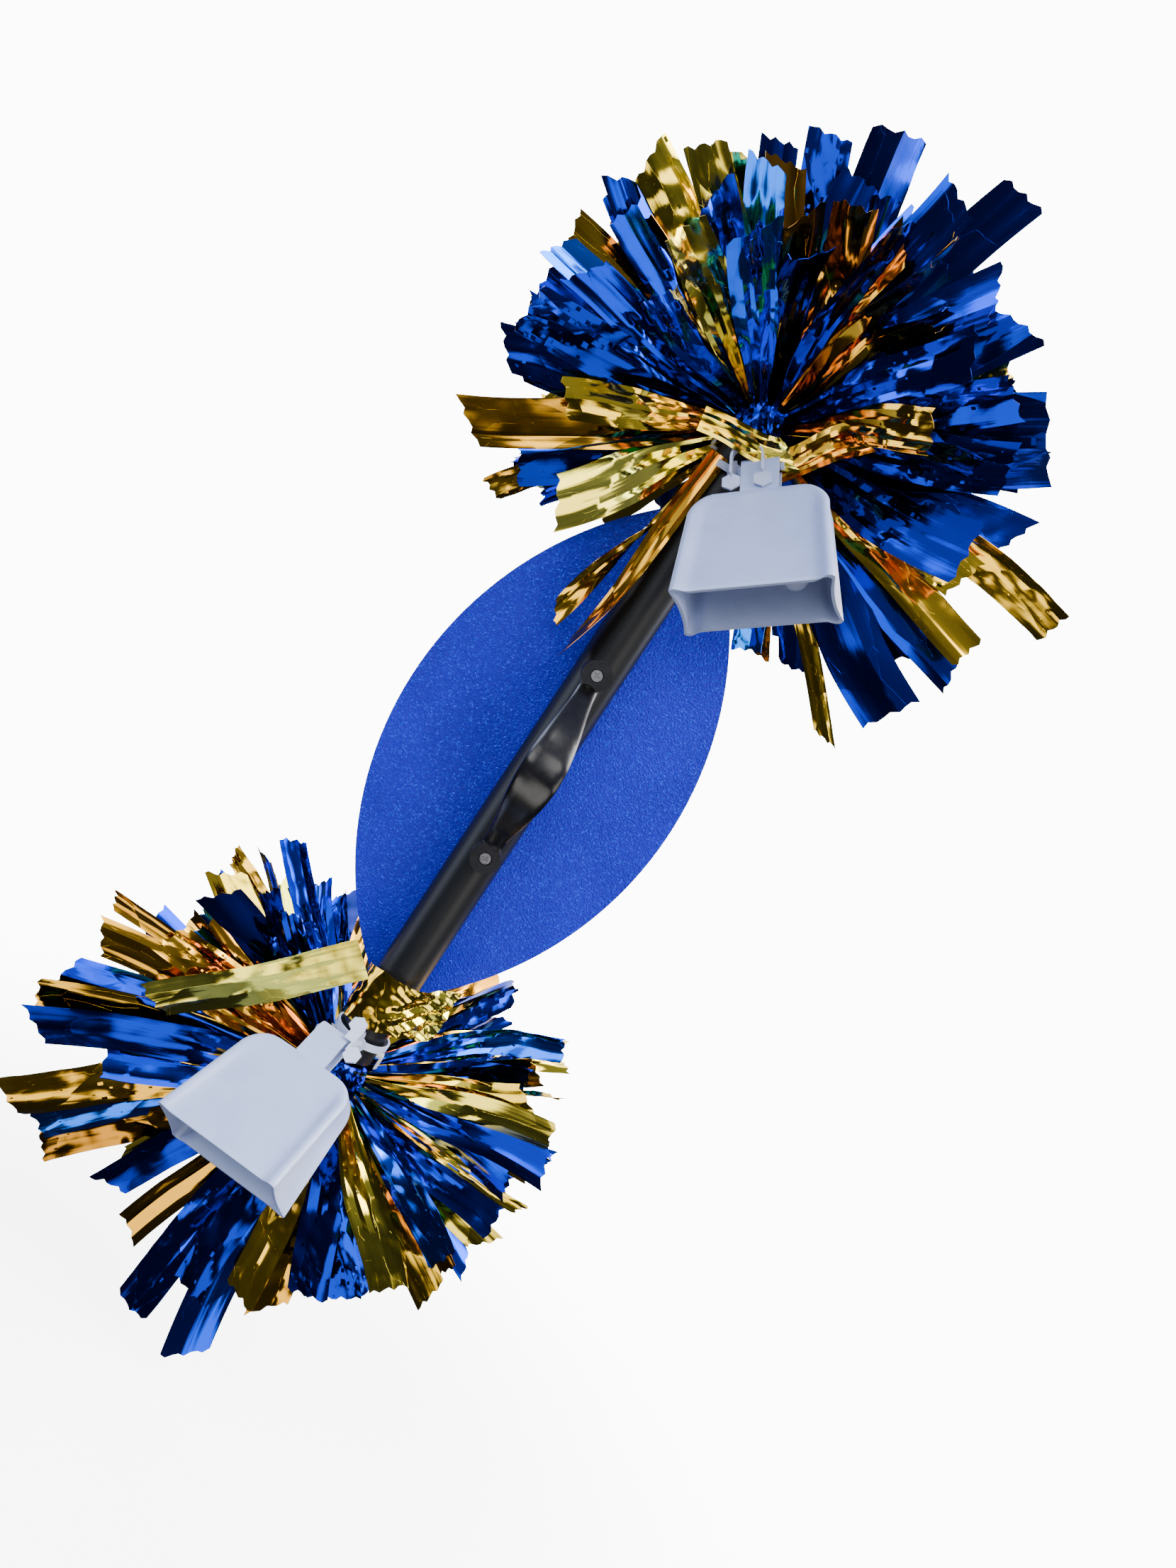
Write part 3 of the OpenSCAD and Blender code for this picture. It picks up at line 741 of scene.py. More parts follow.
@dataclass
class StripField:
    """All strips of one pom as arrays, in millimetres."""

    root: np.ndarray
    along: np.ndarray
    length: np.ndarray
    half: np.ndarray
    facing: np.ndarray
    twist: np.ndarray
    sag: np.ndarray
    fold: np.ndarray
    crumple: np.ndarray
    tone: np.ndarray
    gold: np.ndarray
    throat: np.ndarray
    noise: np.ndarray
    rows: int = 34
    columns: int = 9
    film: float = 0.07
    opened_at: float = 56.0
    pleat_depth: float = 4.4
    creases: tuple[tuple[float, float], ...] = ((27.0, 0.85), (15.0, 0.62), (9.5, 0.36), (6.5, 0.2))

    @staticmethod
    def arrays() -> tuple[str, ...]:
        """Names of the fields that hold one entry a strip."""
        return ("root", "along", "length", "half", "facing", "twist", "sag", "fold", "crumple",
                "tone", "gold", "throat", "noise")

    @classmethod
    def joined(cls, fields: Sequence["StripField"]) -> "StripField":
        """One field that holds the strips of several, in order."""
        return cls(**{name: np.concatenate([getattr(f, name) for f in fields]) for name in cls.arrays()})

    def picked(self, keep: np.ndarray) -> "StripField":
        """The field with only the chosen strips."""
        return StripField(**{name: getattr(self, name)[keep] for name in self.arrays()})

    def sheet(self) -> tuple[np.ndarray, np.ndarray, np.ndarray]:
        """Middle surface of every strip.

        The centre line leaves the root along the strip's direction, drops by the sag times the
        square of the share of its length, and turns once at a kink. The width axis turns about the
        line by the facing plus the twist. Height over the strip is the sum of root pleats that fade
        outwards, one long fold, a curl across the width, and triangle waves of shrinking length
        that crease the film.

        Returns:
            Points, film normals and places on the flat film, by strip, row and column.
        """
        share = np.linspace(0.0, 1.0, self.rows)[None, :, None]
        across = np.linspace(-1.0, 1.0, self.columns)[None, None, :]
        rnd = self.noise[:, :, None, None]
        length, half = self.length[:, None, None], self.half[:, None, None]
        run = share * length
        front = np.array([0.0, -1.0, 0.0])
        width_axis = unit(np.cross(self.along, front) + 1e-4)
        thick_axis = unit(np.cross(self.along, width_axis))
        line = self.root[:, None, :] + self.along[:, None, :] * run
        line[..., 2] -= self.sag[:, None] * share[..., 0] ** 2
        bend = (rnd[:, Draw.BEND] * 12.0) * share**2
        line += thick_axis[:, None, :] * bend
        waver = 1.6 * np.sin(share * 6.0 + 3.0 * rnd[:, Draw.WAVER]) * share
        sway = (rnd[:, Draw.SWAY] * 7.0) * share**2 + waver
        line += width_axis[:, None, :] * sway
        kink = np.maximum(0.0, share - (0.62 + 0.16 * rnd[:, Draw.KINK_PLACE]))
        line += thick_axis[:, None, :] * kink * length * 0.42 * rnd[:, Draw.KINK_DEPTH]
        line += width_axis[:, None, :] * kink * length * 0.22 * rnd[:, Draw.KINK_SIDE]
        ahead = unit(np.gradient(line, axis=1))
        flat = width_axis[:, None, :] - ahead * np.sum(width_axis[:, None, :] * ahead, -1, keepdims=True)
        flat = unit(flat)
        lift = np.cross(ahead, flat)
        angle = np.radians(self.facing[:, None, None] + self.twist[:, None, None] * share**1.3)
        wide = flat * np.cos(angle) + lift * np.sin(angle)
        normal = np.cross(ahead, wide)
        throat = self.throat[:, None, None]
        opened = throat + (1.0 - throat) * smooth_step(4.0, self.opened_at, run)
        at = across * half * opened
        pleat = self.pleat_depth * (1.0 - throat) * (1.0 - smooth_step(14.0, 72.0, run)) + 0.25
        pleats_across = across * (1.3 + 0.5 * rnd[:, Draw.PLEAT_COUNT])
        height = pleat * triangle_wave(pleats_across + 0.5 * rnd[:, Draw.PLEAT_SHIFT])
        spread = smooth_step(25.0, 80.0, run)
        first = np.round(2.2 * rnd[:, Draw.FOLD_PLACE]) / 4.0
        second = np.where(first > 0.0, first - 0.75, first + 0.75)
        fold = self.fold[:, None, None] * half * spread
        crossing = 0.75 * rnd[:, Draw.FOLD_DEPTH] * np.abs(across - second)
        height = height + fold * (np.abs(across - first) - crossing - 0.4)
        curl = spread * 1.3 * rnd[:, Draw.CURL] * (across**2 - 0.33)
        height = height + curl * (1.0 + 0.7 * np.sin(run / 19.0))
        rumple = 0.4 + 0.6 * np.abs(np.sin(run / 27.0 + 5.0 * rnd[:, Draw.RUMPLE]))
        for step, (wave, deep) in enumerate(self.creases):
            lean = 0.9 * rnd[:, Draw.LEAN + step]
            warp = 0.45 * np.sin(run / 14.0 + at / 6.0 + 7.0 * rnd[:, Draw.WARP + step])
            phase = (run * (1.0 - 0.4 * lean) + at * lean * 1.9) / wave
            creased = deep * rumple * self.crumple[:, None, None]
            height = height + creased * triangle_wave(phase + warp + 4.0 * rnd[:, Draw.PHASE + step])
        ragged = 1.2 * triangle_wave(across * 1.4 + rnd[:, Draw.CUT_SHIFT])
        cut = share**8 * (5.5 * rnd[:, Draw.CUT] * across + ragged)
        points = line[:, :, None, :] + wide[:, :, None, :] * at[..., None]
        points = points + normal[:, :, None, :] * height[..., None]
        points = points + ahead[:, :, None, :] * cut[..., None]
        film_normal = np.cross(np.gradient(points, axis=1), np.gradient(points, axis=2))
        apart = 60.0 * np.arange(len(self.length))[:, None, None]
        film = np.stack(np.broadcast_arrays(at, run + 0.0 * at, apart + 0.0 * at), -1)
        return points, unit(film_normal), film

    def build(self, name: str, material: bpy.types.Material) -> bpy.types.Object:
        """Makes one piece of closed strips: a front and a back sheet joined round the edge.

        Args:
            name: Piece name.
            material: Foil material.

        Returns:
            The piece, with each strip's tone as a point attribute.
        """
        points, normals, film = self.sheet()
        count, rows, columns = points.shape[:3]
        both = np.stack([points + normals * self.film, points - normals * self.film], 1)
        shared = 2 * rows * columns
        one = sheet_quads(rows, columns)
        quads = (one[None] + (np.arange(count) * shared)[:, None, None]).reshape(-1, 4)
        made = make_piece(name, both, quads, material, sharp=24.0)
        tone, crumple = np.repeat(self.tone, shared), np.repeat(self.crumple, shared)
        mark_film(made, tone, np.stack([film, film], 1), crumple)
        return made


@dataclass
class Pom:
    """One pom: the listed strips, a seeded fill round them, and the gathered core."""

    name: str
    end: int
    by_hand: tuple[Strip, ...]
    seed: int
    tie_height: float = 142.0
    centre_height: float = 164.0
    fill: int = 420
    root_gap: float = 7.0
    noise_terms: int = 26
    gold_share: float = 0.36
    bell_reach: float = 104.0
    sweep_front: float = 6.5
    sweep_side: float = 200.0
    sweep_above: float = 26.0
    sweep_slope: float = 3.1
    tie_front: float = 21.0
    tube_radius: float = 14.0
    tube_end: float = 150.0
    panel_arc: float = 160.4
    panel_half: float = 65.6
    panel_middle: float = 11.5
    panel_room: float = 3.2
    panel_edge: float = 4.0
    core_radius: float = 13.4
    seen_from: float = 530.0
    hand_room: float = 11.5
    core_half: float = 11.6
    core_pleats: float = 17.0
    rng: np.random.Generator = field(init=False)

    def __post_init__(self) -> None:
        """Starts the seeded draws."""
        self.rng = np.random.default_rng(self.seed)

    def middle(self) -> np.ndarray:
        """Middle of the pom."""
        return np.array([0.0, 0.0, self.end * self.centre_height])

    def true_length(self, reach: np.ndarray, lean: np.ndarray) -> np.ndarray:
        """Length of a strip whose end, seen from the front at the viewing distance, has that reach."""
        return reach * self.seen_from / (self.seen_from * np.cos(lean) + reach * np.sin(lean))

    def hand_field(self) -> StripField:
        """Listed strips, as arrays."""

        def listed(name: str) -> np.ndarray:
            """One value of every strip, in order."""
            return np.array([getattr(strip, name) for strip in self.by_hand])

        clock, lean = np.radians(listed("clock")), np.radians(listed("lean"))
        along = np.stack([np.sin(clock) * np.cos(lean), -np.sin(lean), np.cos(clock) * np.cos(lean)], -1)
        count = len(self.by_hand)
        noise = self.rng.uniform(-1.0, 1.0, (count, self.noise_terms))
        noise[:, [Draw.BEND, Draw.SWAY, Draw.KINK_DEPTH, Draw.KINK_SIDE]] *= 0.35
        return StripField(
            root=self.middle() + along * self.root_gap + listed("start"),
            along=along,
            length=self.true_length(listed("reach"), lean) - self.root_gap,
            half=listed("half_width"),
            facing=listed("facing") + self.rng.uniform(-9.0, 9.0, count),
            twist=listed("twist") + self.rng.uniform(-18.0, 18.0, count),
            sag=listed("sag"),
            fold=self.rng.uniform(-0.38, 0.38, count),
            crumple=self.rng.beta(1.2, 2.6, count),
            tone=listed("tone"),
            gold=np.array([strip.foil is Foil.GOLD for strip in self.by_hand]),
            throat=listed("throat"),
            noise=noise,
        )

    def fill_field(self) -> StripField:
        """Seeded strips over the whole ball of directions, on a golden-angle spiral with a jitter."""
        count = self.fill
        number = np.arange(count) + 0.5
        polar = np.arccos(1.0 - 2.0 * number / count)
        turned = np.radians(GOLDEN_ANGLE) * number
        level = np.sin(polar)
        along = np.stack([level * np.cos(turned), level * np.sin(turned), np.cos(polar)], -1)
        along = unit(along + self.rng.normal(0.0, 0.07, (count, 3)))
        noise = self.rng.uniform(-1.0, 1.0, (count, self.noise_terms))
        gold = self.rng.random(count) < self.gold_share
        front = np.clip(-along[:, 1], 0.0, 1.0)
        length = self.rng.uniform(80.0, 106.0, count) * (1.0 - 0.26 * front)
        tone = np.where(gold, self.rng.beta(1.3, 1.3, count), self.rng.beta(1.2, 1.7, count))
        return StripField(
            root=self.middle() + along * self.root_gap,
            along=along,
            length=length,
            half=self.rng.uniform(4.8, 9.0, count),
            facing=self.rng.normal(0.0, 38.0, count),
            twist=self.rng.normal(0.0, 35.0, count),
            sag=self.rng.uniform(0.0, 6.0, count),
            fold=self.rng.uniform(-0.75, 0.75, count),
            crumple=self.rng.beta(1.1, 2.8, count),
            tone=tone,
            gold=gold,
            throat=np.full(count, Strip.throat),
            noise=noise,
        )

    def clear_of_neighbours(self, points: np.ndarray) -> np.ndarray:
        """Tells which strips stay out of the tube, the panel and the bell's way.

        Args:
            points: Points by strip, row and column.

        Returns:
            True for each strip whose points are all clear.
        """
        probe = points[:, ::2, ::2].reshape(len(points), -1, 3)
        x, y, z = probe[..., 0], probe[..., 1], probe[..., 2] * self.end
        in_tube = (np.hypot(x, y) < self.tube_radius) & (z < self.tube_end)
        arc = np.hypot(np.abs(x) + self.panel_arc - self.panel_half, z)
        level = np.abs(y - self.panel_middle) < self.panel_room
        in_panel = level & (arc < self.panel_arc + self.panel_edge)
        away = np.sqrt(x**2 + (y + self.tie_front) ** 2 + (z - self.tie_height) ** 2)
        drop = self.end * (self.tie_height - z)
        narrow = np.abs(x) < self.sweep_slope * drop + self.sweep_side
        in_front = (y < -self.sweep_front) & (drop > -self.sweep_above) & narrow
        in_sweep = (away < self.bell_reach) & in_front
        return ~np.any(in_tube | in_panel | in_sweep, axis=1)

    def hides(self, fill: np.ndarray, hand: np.ndarray) -> np.ndarray:
        """Tells which fill strips would stand close in front of a listed strip."""
        close = fill @ hand.T > math.cos(math.radians(self.hand_room))
        in_front = fill[:, None, 1] < hand[None, :, 1] + 0.02
        return np.any(close & in_front, axis=1)

    def core(self, material: bpy.types.Material) -> bpy.types.Object:
        """Gathered middle: a barrel whose radius is rippled by pleats round it and creases along it."""
        rows, columns = 22, 72
        up = np.linspace(-1.0, 1.0, rows)[:, None]
        round_ = np.linspace(0.0, 2.0 * math.pi, columns, endpoint=False)[None, :]
        ends = np.sqrt(np.clip(1.0 - np.abs(up) ** 9, 0.12, 1.0))
        barrel = self.core_radius * (1.0 - 0.12 * up**2) * ends
        ripple = 0.55 * triangle_wave(round_ * self.core_pleats / (2.0 * math.pi) + 0.5 * np.sin(3.0 * up))
        radius = barrel + ripple * (1.0 - up**4) - 0.9
        points = np.stack([radius * np.cos(round_), radius * np.sin(round_),
                           self.end * self.centre_height + self.core_half * up + 0.0 * round_], -1)
        quads = grid_quads(rows, columns, wrap=True)[:, ::-1]
        rings = np.arange(rows * columns).reshape(rows, columns)
        made = make_piece(f"{self.name}_gathered_core", points, quads, material, 30.0,
                          (rings[0][::-1], rings[-1]))
        run, height = round_ * self.core_radius, up * self.core_half
        film = np.stack(np.broadcast_arrays(run, height, 0.0 * up), -1)
        mark_film(made, np.full(rows * columns, 0.3), film, np.full(rows * columns, 0.8))
        return made

    def build(self, blue: bpy.types.Material, gold: bpy.types.Material) -> None:
        """Makes the pom's pieces.

        Args:
            blue: Blue foil.
            gold: Gold foil.
        """
        hand, fill = self.hand_field(), self.fill_field()
        points = fill.sheet()[0]
        fill = fill.picked(self.clear_of_neighbours(points) & ~self.hides(fill.along, hand.along))
        both = StripField.joined([hand, fill])
        for foil, material, mask in ((Foil.BLUE, blue, ~both.gold), (Foil.GOLD, gold, both.gold)):
            made = both.picked(mask).build(f"{self.name}_{foil.value}_foil_strips", material)
            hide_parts(f"{self.name}_{foil.value}_strands")
            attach(made, "shaker")
            LOG.info("%s: %d strips", made.name, int(mask.sum()))
        core = self.core(blue)
        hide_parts(f"{self.name}_pom_knot")
        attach(core, "shaker")


# ---------- bells ----------


@dataclass
class Bell:
    """One cowbell shell, dished front and back, with pinched sides and a rolled edge."""

    name: str
    fold: tuple[float, float, float]
    swing: float
    yaw: float
    tilt: float
    crown: float = -14.5
    height: float = 51.0
    crown_half: float = 15.5
    shoulder: float = 12.0
    side_half: float = 27.5
    mouth_half: float = 30.5
    crown_depth: float = 6.0
    mouth_depth: float = 15.5
    wall: float = 1.5
    corner: float = 2.2
    dish: float = 2.0
    pinch: float = 1.6
    crown_roll: float = 1.6
    shoulder_end: float = 11.9
    side_start: float = 13.0
    around: int = 144

    def frame(self) -> np.ndarray:
        """Rotation from the bell's own axes to the object's."""
        return turn("Y", self.swing) @ turn("Z", self.yaw) @ turn("X", -self.tilt)

    def half_width(self, drop: np.ndarray, inset: float) -> np.ndarray:
        """Half width at a drop below the crown: a quarter circle, then a straight flare."""
        rest = np.maximum(0.0, (self.shoulder - inset) ** 2 - (self.shoulder - drop) ** 2)
        arc = self.crown_half + np.sqrt(rest)
        flare = (self.mouth_half - self.side_half) / (self.height - self.shoulder)
        side = self.side_half - inset + flare * (drop - self.shoulder)
        return np.where(drop < self.shoulder, arc, side)

    def half_depth(self, drop: np.ndarray, inset: float) -> np.ndarray:
        """Half depth at a drop below the crown, growing evenly to the mouth."""
        return self.crown_depth - inset + (self.mouth_depth - self.crown_depth) * drop / self.height

    def ring(self, drop: np.ndarray, inset: float, shrink: np.ndarray) -> np.ndarray:
        """Rounded rectangles, one for each drop.

        The points run round a rectangle, closer together near its corners, and those outside a
        corner's arc are pulled onto it. The sides are pinched in by a parabola of the depth, and the
        front and back are dished inwards away from the edge.

        Args:
            drop: Drops below the crown.
            inset: Distance inside the outer surface.
            shrink: Extra inset of each ring.

        Returns:
            Points by ring and place round it.
        """
        wide = (self.half_width(drop, inset) - shrink)[:, None]
        deep = (self.half_depth(drop, inset) - shrink)[:, None]
        base = np.linspace(0.0, 4.0, self.around, endpoint=False)[None, :]
        side, place = np.floor(base), 2.0 * (base - np.floor(base)) - 1.0
        place = np.sin(place * math.pi / 2.0)
        soft = np.minimum(self.corner, 0.6 * np.minimum(wide, deep))
        sides = [side == 0, side == 1, side == 2]
        x = np.select(sides, [wide + 0 * place, -place * wide, -wide + 0 * place], place * wide)
        y = np.select(sides, [place * deep, deep + 0 * place, -place * deep], -deep + 0 * place)
        over_x = np.maximum(np.abs(x) - (wide - soft), 0.0)
        over_y = np.maximum(np.abs(y) - (deep - soft), 0.0)
        away = np.maximum(np.hypot(over_x, over_y), 1e-9)
        pull = np.where(away > soft, soft / away, 1.0)
        x = np.sign(x) * (np.minimum(np.abs(x), wide - soft) + over_x * pull)
        y = np.sign(y) * (np.minimum(np.abs(y), deep - soft) + over_y * pull)
        low = smooth_step(3.0, 22.0, drop)[:, None]
        on_side = smooth_step(0.0, 4.0, np.abs(x) - (wide - 5.0))
        parabola = np.clip(1.0 - (y / np.maximum(deep - 1.2, 1.0)) ** 2, 0.0, 1.0)
        x = x - np.sign(x) * self.pinch * low * on_side * parabola
        edge_gap = np.minimum(wide - np.abs(x), drop[:, None] + 1.5)
        on_face = smooth_step(-1.0, 0.0, np.abs(y) - (deep - 1.0))
        sunk = self.dish * smooth_step(2.4, 6.6, edge_gap) * on_face
        y = y - np.sign(y) * sunk * low**0.5
        return np.stack([x, y, self.crown - drop[:, None] + 0 * x], -1)

    def shell(self, material: bpy.types.Material) -> bpy.types.Object:
        """The shell: outer rings from the crown down, a rounded lip, and inner rings back up."""
        roll = np.radians([2.0, 30.0, 60.0, 88.0])
        shoulder = np.linspace(2.2, self.shoulder_end, 14)
        side = np.linspace(self.side_start, self.height, 22)
        drops = np.concatenate([self.crown_roll * (1.0 - np.cos(roll)), shoulder, side])
        flush = np.zeros(len(shoulder) + len(side))
        shrinks = np.concatenate([self.crown_roll * (1.0 - np.sin(roll)), flush])
        outer = self.ring(drops, 0.0, shrinks)
        inner_shoulder = np.linspace(self.wall + 0.9, self.shoulder_end, 14)
        inner_side = np.linspace(self.side_start, self.height - 0.4, 18)
        inner_drops = np.concatenate([[self.wall + 0.02], inner_shoulder, inner_side])
        inner = self.ring(inner_drops, self.wall, np.zeros(len(inner_drops)))[::-1]
        lip_out = outer[-1] * np.array([0.996, 0.992, 1.0]) + np.array([0.0, 0.0, -0.45])
        lip_in = inner[0] * np.array([1.006, 1.012, 1.0]) + np.array([0.0, 0.0, -0.85])
        rings = np.concatenate([outer, lip_out[None], lip_in[None], inner])
        points = rings @ self.frame().T + np.array(self.fold)
        count = len(rings)
        quads = grid_quads(count, self.around, wrap=True)
        numbers = np.arange(count * self.around).reshape(count, self.around)
        return make_piece(f"{self.name}_bell_moulded_shell", points, quads, material, 50.0,
                          (numbers[0], numbers[-1][::-1]))

    def build(self, material: bpy.types.Material) -> None:
        """Makes the shell in place of its plain solid."""
        made = self.shell(material)
        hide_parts(f"{self.name}_bell_shell")
        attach(made, f"{self.name}_bell")
        LOG.info("%s", made.name)


# ---------- grip, panel and wrap ----------


@dataclass
class Grip:
    """The finger strap: a glossy vinyl band that arches off the tube."""

    half_length: float = 38.75
    rise: float = 22.0
    front: float = -13.52
    thickness: float = 2.8
    end_half: float = 4.5
    mid_half: float = 9.0
    skew: float = 1.5
    screw_height: float = 44.25
    end_round: float = 4.4
    squareness: float = 0.55
    rows: int = 150
    columns: int = 24

    def strap(self, material: bpy.types.Material) -> bpy.types.Object:
        """The band.

        Its line rises by the 1.5th power of one less the square of the share of its length, its half
        width by the square of that, and its section is a flattened superellipse with a shallow
        groove, rumpled by small waves where the hand bends it.
        """
        reach = self.screw_height + self.end_round
        run = np.linspace(-reach, reach, self.rows)[:, None]
        share = np.clip(run / self.half_length, -1.0, 1.0)
        body = 1.0 - share**2
        lift = self.rise * body**1.5
        half = self.end_half + (self.mid_half - self.end_half) * body**2
        past = np.clip((np.abs(run) - (reach - self.end_round)) / self.end_round, 0.0, 1.0)
        half = half * np.sqrt(1.0 - 0.97 * past**2)
        round_ = np.linspace(0.0, 2.0 * math.pi, self.columns, endpoint=False)[None, :]
        power = self.squareness
        over = np.sign(np.cos(round_)) * np.abs(np.cos(round_)) ** power
        through = np.sign(np.sin(round_)) * np.abs(np.sin(round_)) ** power
        thin = self.thickness / 2.0 - 0.03
        groove = 0.5 * body * (1.0 - smooth_step(0.0, 0.75, np.abs(over)))
        rumple = 0.10 * body * triangle_wave(run / 17.0 + 0.4 * over + 0.4 * np.sin(run / 9.0))
        depth = self.front + self.thickness / 2.0 - lift + through * (thin - groove) + rumple
        lean = math.atan2(self.skew, self.screw_height)
        x = half * over
        points = np.stack([x * math.cos(lean) - run * math.sin(lean), depth,
                           run * math.cos(lean) + x * math.sin(lean)], -1)
        numbers = np.arange(self.rows * self.columns).reshape(self.rows, self.columns)
        quads = grid_quads(self.rows, self.columns, wrap=True)
        return make_piece("grip_vinyl_strap", points, quads[:, ::-1], material, 40.0,
                          (numbers[0], numbers[-1][::-1]))

    def build(self, material: bpy.types.Material) -> None:
        """Makes the strap in place of its plain solid."""
        made = self.strap(material)
        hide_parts("grip_strap")
        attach(made, "shaker")


@dataclass
class FoilWrap:
    """Loose piece of gold foil that wraps the tube's lower end and leaves it as a crumpled flap."""

    low: float = -136.5
    height: float = 25.0
    start: float = -86.0
    leave: float = 18.0
    flap: float = 23.0
    radius: float = 13.4
    rows: int = 44
    columns: int = 72
    film: float = 0.08

    def build(self, material: bpy.types.Material) -> None:
        """Makes the wrap.

        Its line follows a circle round the tube and leaves it along the tangent. Creases of three
        lengths are added square to the line, deeper on the flap.
        """
        up = np.linspace(0.0, 1.0, self.rows)[:, None]
        arc = math.radians(self.leave - self.start) * self.radius
        run = np.linspace(0.0, arc + self.flap, self.columns)[None, :]
        share = run / (arc + self.flap)
        angle = math.radians(self.start) + np.minimum(run, arc) / self.radius
        past = np.maximum(run - arc, 0.0)
        deep = 0.15 + 0.85 * smooth_step(0.4, 0.75, share)
        crease = 1.3 * triangle_wave(1.3 * up + 2.1 * share + 0.3 * np.sin(6.0 * share))
        crease = crease + 0.8 * triangle_wave(3.6 * share - 2.0 * up + 0.3 * np.sin(7.0 * up))
        crease = crease + 0.35 * triangle_wave(5.0 * up + 5.0 * share)
        out = self.radius + crease * deep + 1.2 * deep
        x = np.sin(angle) * out + np.cos(angle) * past
        y = -np.cos(angle) * out + np.sin(angle) * past
        z = self.low + self.height * up + 9.0 * share**2 + 1.2 * triangle_wave(1.7 * share) * up
        normal = np.stack(np.broadcast_arrays(np.sin(angle), -np.cos(angle), 0.0 * up), -1)
        points = np.stack([x, y, z], -1)
        both = np.stack([points + normal * self.film, points - normal * self.film])
        quads = sheet_quads(self.rows, self.columns, flip=True)
        made = make_piece("lower_gold_foil_wrap", both, quads, material, 24.0)
        # painted shade: the tone rises from 0.35 where the wrap starts round the tube to 0.95 at the end
        # of the flap, so the part round the tube is painted darker
        shade = np.broadcast_to(0.35 + 0.6 * share, (self.rows, self.columns))
        film = np.stack(np.broadcast_arrays(run, up * self.height, 0.0 * up), -1)
        mark_film(made, np.stack([shade, shade]), np.stack([film, film]), np.full(both.shape[:-1], 0.6))
        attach(made, "shaker")


# ---------- studio ----------


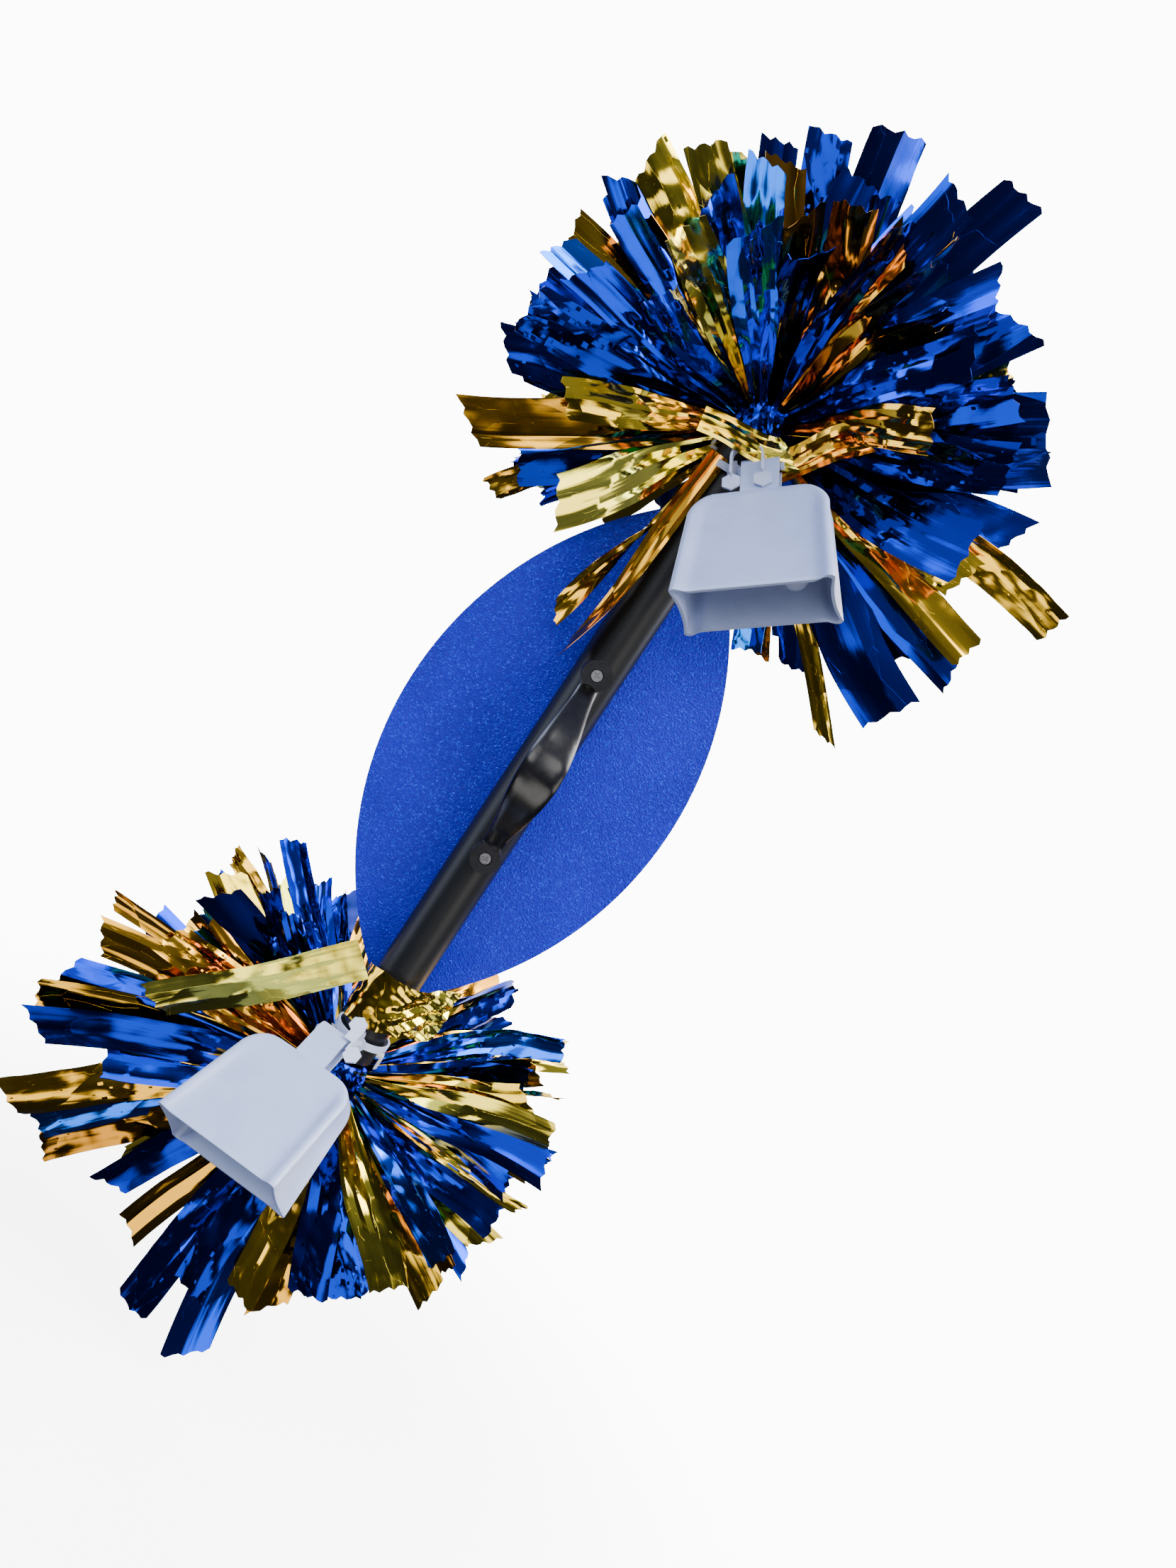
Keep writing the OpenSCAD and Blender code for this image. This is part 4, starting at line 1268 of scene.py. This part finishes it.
@dataclass
class Studio:
    """Pale floor, soft lights, sky-like surroundings and the camera."""

    yaw: float = 6.99
    pitch: float = 6.69
    roll: float = 33.64
    across: float = -20.1
    distance: float = 530.3
    up: float = 9.29
    lens: float = 28.73
    floor_drop: float = 0.012

    def camera(self) -> None:
        """Camera that looks along the object's front, leaned over by the roll."""
        turned = turn("Y", self.roll) @ turn("X", self.pitch) @ turn("Z", self.yaw)
        place = -turned.T @ np.array([self.across, self.distance, self.up]) * MM
        data = bpy.data.cameras.new("camera")
        data.lens, data.sensor_width = self.lens, 36.0
        data.clip_start, data.clip_end = 0.01, 50.0
        made = bpy.data.objects.new("camera", data)
        axes = np.stack([turned[0], turned[2], -turned[1]], 1)
        matrix = np.eye(4)
        matrix[:3, :3], matrix[:3, 3] = axes, place
        made.matrix_world = Matrix(matrix.tolist())
        bpy.context.scene.collection.objects.link(made)
        bpy.context.scene.camera = made

    def light(
        self, name: str, direction: Colour, distance: float, size: float, power: float, colour: Colour
    ) -> None:
        """Soft square light that faces the object.

        Args:
            name: Light name.
            direction: Where it stands, seen from the object.
            distance: How far off, in metres.
            size: Side of the square, in metres.
            power: Watts.
            colour: Light colour.
        """
        data = bpy.data.lights.new(name, "AREA")
        data.energy, data.size, data.color = power, size, colour
        made = bpy.data.objects.new(name, data)
        made.location = Vector(direction).normalized() * distance
        made.rotation_euler = (-Vector(direction)).to_track_quat("-Z", "Y").to_euler()
        bpy.context.scene.collection.objects.link(made)

    def world(self) -> None:
        """Surroundings: a pale backdrop for the eye, and for reflections a dim room with bright lobes.

        Each lobe is a smooth step of the cosine between the ray and the lobe's direction.
        """
        world = bpy.data.worlds.new("studio")
        bpy.context.scene.world = world
        world.use_nodes = True
        graph = Graph(world.node_tree)
        ray = graph.node("TexCoord", {}, {}, "Generated")
        height = graph.node("SeparateXYZ", {}, {"Vector": ray}, "Z")
        light = graph.mix(graph.step(height, -0.5, 0.9), (0.02, 0.024, 0.038), (0.24, 0.29, 0.40))
        lobes = (
            ((0.60, -0.20, 0.78), 0.80, 0.94, (11.0, 10.8, 10.4)),
            ((-0.62, -0.35, 0.70), 0.91, 0.97, (5.5, 6.4, 8.0)),
            ((-0.97, -0.20, -0.10), 0.94, 0.985, (3.6, 4.0, 5.0)),
            ((-0.15, -0.93, 0.33), 0.955, 0.985, (4.6, 4.5, 4.4)),
            ((0.60, -0.78, -0.16), 0.945, 0.985, (3.4, 3.2, 2.9)),
            ((0.90, 0.40, 0.20), 0.90, 0.97, (5.0, 5.2, 5.6)),
            ((-0.50, 0.80, 0.30), 0.88, 0.96, (5.0, 5.2, 5.6)),
            ((0.05, -0.70, -0.71), 0.93, 0.98, (3.0, 2.9, 2.7)),
        )
        for direction, low, high, colour in lobes:
            aim = tuple(Vector(direction).normalized())
            cosine = graph.vector("DOT_PRODUCT", {0: ray, 1: aim}, "Value")
            light = graph.mix(graph.step(cosine, low, high), light, colour)
        seen = graph.node("LightPath", {}, {}, "Is Camera Ray")
        rays = graph.node("Background", {}, {"Color": light, "Strength": 1.0})
        backdrop = graph.node("Background", {}, {"Color": (1.0, 1.0, 1.0), "Strength": 12.0})
        shown = graph.node("MixShader", {}, {0: seen, 1: rays, 2: backdrop})
        graph.node("OutputWorld", {}, {"Surface": shown})

    def floor(self, low: float) -> None:
        """Pale floor disc under the object, which fades out towards its edge.

        Args:
            low: Height of the object's lowest point, in metres.
        """
        material, graph = new_graph("floor_pale")
        where = graph.place()
        flat = graph.vector("MULTIPLY", {0: where, 1: (1.0, 1.0, 0.0)})
        away = graph.vector("LENGTH", {0: flat}, "Value")
        tone = graph.mix(graph.noise(where, 40.0, 3.0), (0.92, 0.92, 0.92), (0.95, 0.95, 0.95))
        paint = graph.node("BsdfPrincipled", {}, {
            "Base Color": tone, "Roughness": 0.9,
            "Emission Color": (1.0, 1.0, 1.0), "Emission Strength": 5.0,
        })
        clear = graph.node("BsdfTransparent", {}, {})
        shader = graph.node("MixShader", {}, {0: graph.step(away, 0.12, 0.42), 1: paint, 2: clear})
        graph.node("OutputMaterial", {}, {"Surface": shader})
        bpy.ops.mesh.primitive_circle_add(vertices=96, radius=0.45, fill_type="NGON", location=(0, 0, 0))
        disc = bpy.context.object
        disc.name = "floor"
        disc.data.transform(Matrix.Translation((0.0, 0.0, low - self.floor_drop)))
        disc.data.materials.append(material)
        disc.visible_glossy = False
        disc.visible_diffuse = False
        disc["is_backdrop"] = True

    def build(self, low: float) -> None:
        """Sets up the studio.

        Args:
            low: Height of the object's lowest point, in metres.
        """
        self.camera()
        self.world()
        self.light("key", (0.75, -0.55, 0.95), 1.5, 0.6, 11.0, (1.0, 0.98, 0.95))
        self.light("fill", (-0.7, -1.0, 0.5), 1.7, 0.9, 3.0, (0.72, 0.84, 1.0))
        self.light("rim", (0.2, 1.0, 0.6), 1.6, 0.8, 8.0, (1.0, 1.0, 1.0))
        self.floor(low)


# ---------- the whole object ----------


def dress(nodes: Sequence[str], material: bpy.types.Material) -> None:
    """Gives a material to CAD nodes that keep their shape.

    Args:
        nodes: Node names.
        material: Material for all their slots.
    """
    for name in nodes:
        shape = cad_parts[name]
        if not shape.data.materials:
            shape.data.materials.append(material)
        for slot in shape.material_slots:
            slot.material = material


def both_ends(*names: str) -> list[str]:
    """Names with upper_ and lower_ in front."""
    return [f"{end}_{name}" for name in names for end in ("upper", "lower")]


def main() -> None:
    """Builds the object class by class, then the studio."""
    logging.basicConfig(level=logging.INFO, format="%(name)s %(message)s")
    cad_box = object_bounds()
    blue, gold = BLUE_FOIL.build(), GOLD_FOIL.build()
    dress(["tube"], TubeFinish().build())
    dress(["football_panel"], GlintPanelFinish().build())
    dress(both_ends("grip_cap"), CAP_PLASTIC.build())
    dress(both_ends("grip_screw"), SCREW_STEEL.build())
    dress(both_ends("back_washer", "grip_nut", "clapper_pin"), ZINC_STEEL.build())
    dress(both_ends("pom_cable_tie"), NYLON.build())
    dress(both_ends("tie_collar", "tie_link", "tie_ends"), TIE_PLASTIC.build())
    band = BAND_PLASTIC.build()
    dress(both_ends("bell_band", "clapper"), band)
    bell = BELL_PLASTIC.build()
    Bell("upper", (7.383, -21.892, 147.979), -39.0, -18.0, 38.0).build(bell)
    Bell("lower", (-10.398, -19.32, -143.461), -8.0, -25.5, 45.0).build(bell)
    Grip().build(GRIP_VINYL.build())
    lower = {"gold_share": 0.44, "sweep_front": 10.0, "sweep_side": 26.0}
    Pom("upper", 1, UPPER_STRIPS, seed=41).build(blue, gold)
    Pom("lower", -1, LOWER_STRIPS, seed=77, **lower).build(blue, gold)
    FoilWrap().build(gold)
    Studio().build(min(cad_box[0].z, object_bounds()[0].z))


if __name__ == "__main__":
    main()
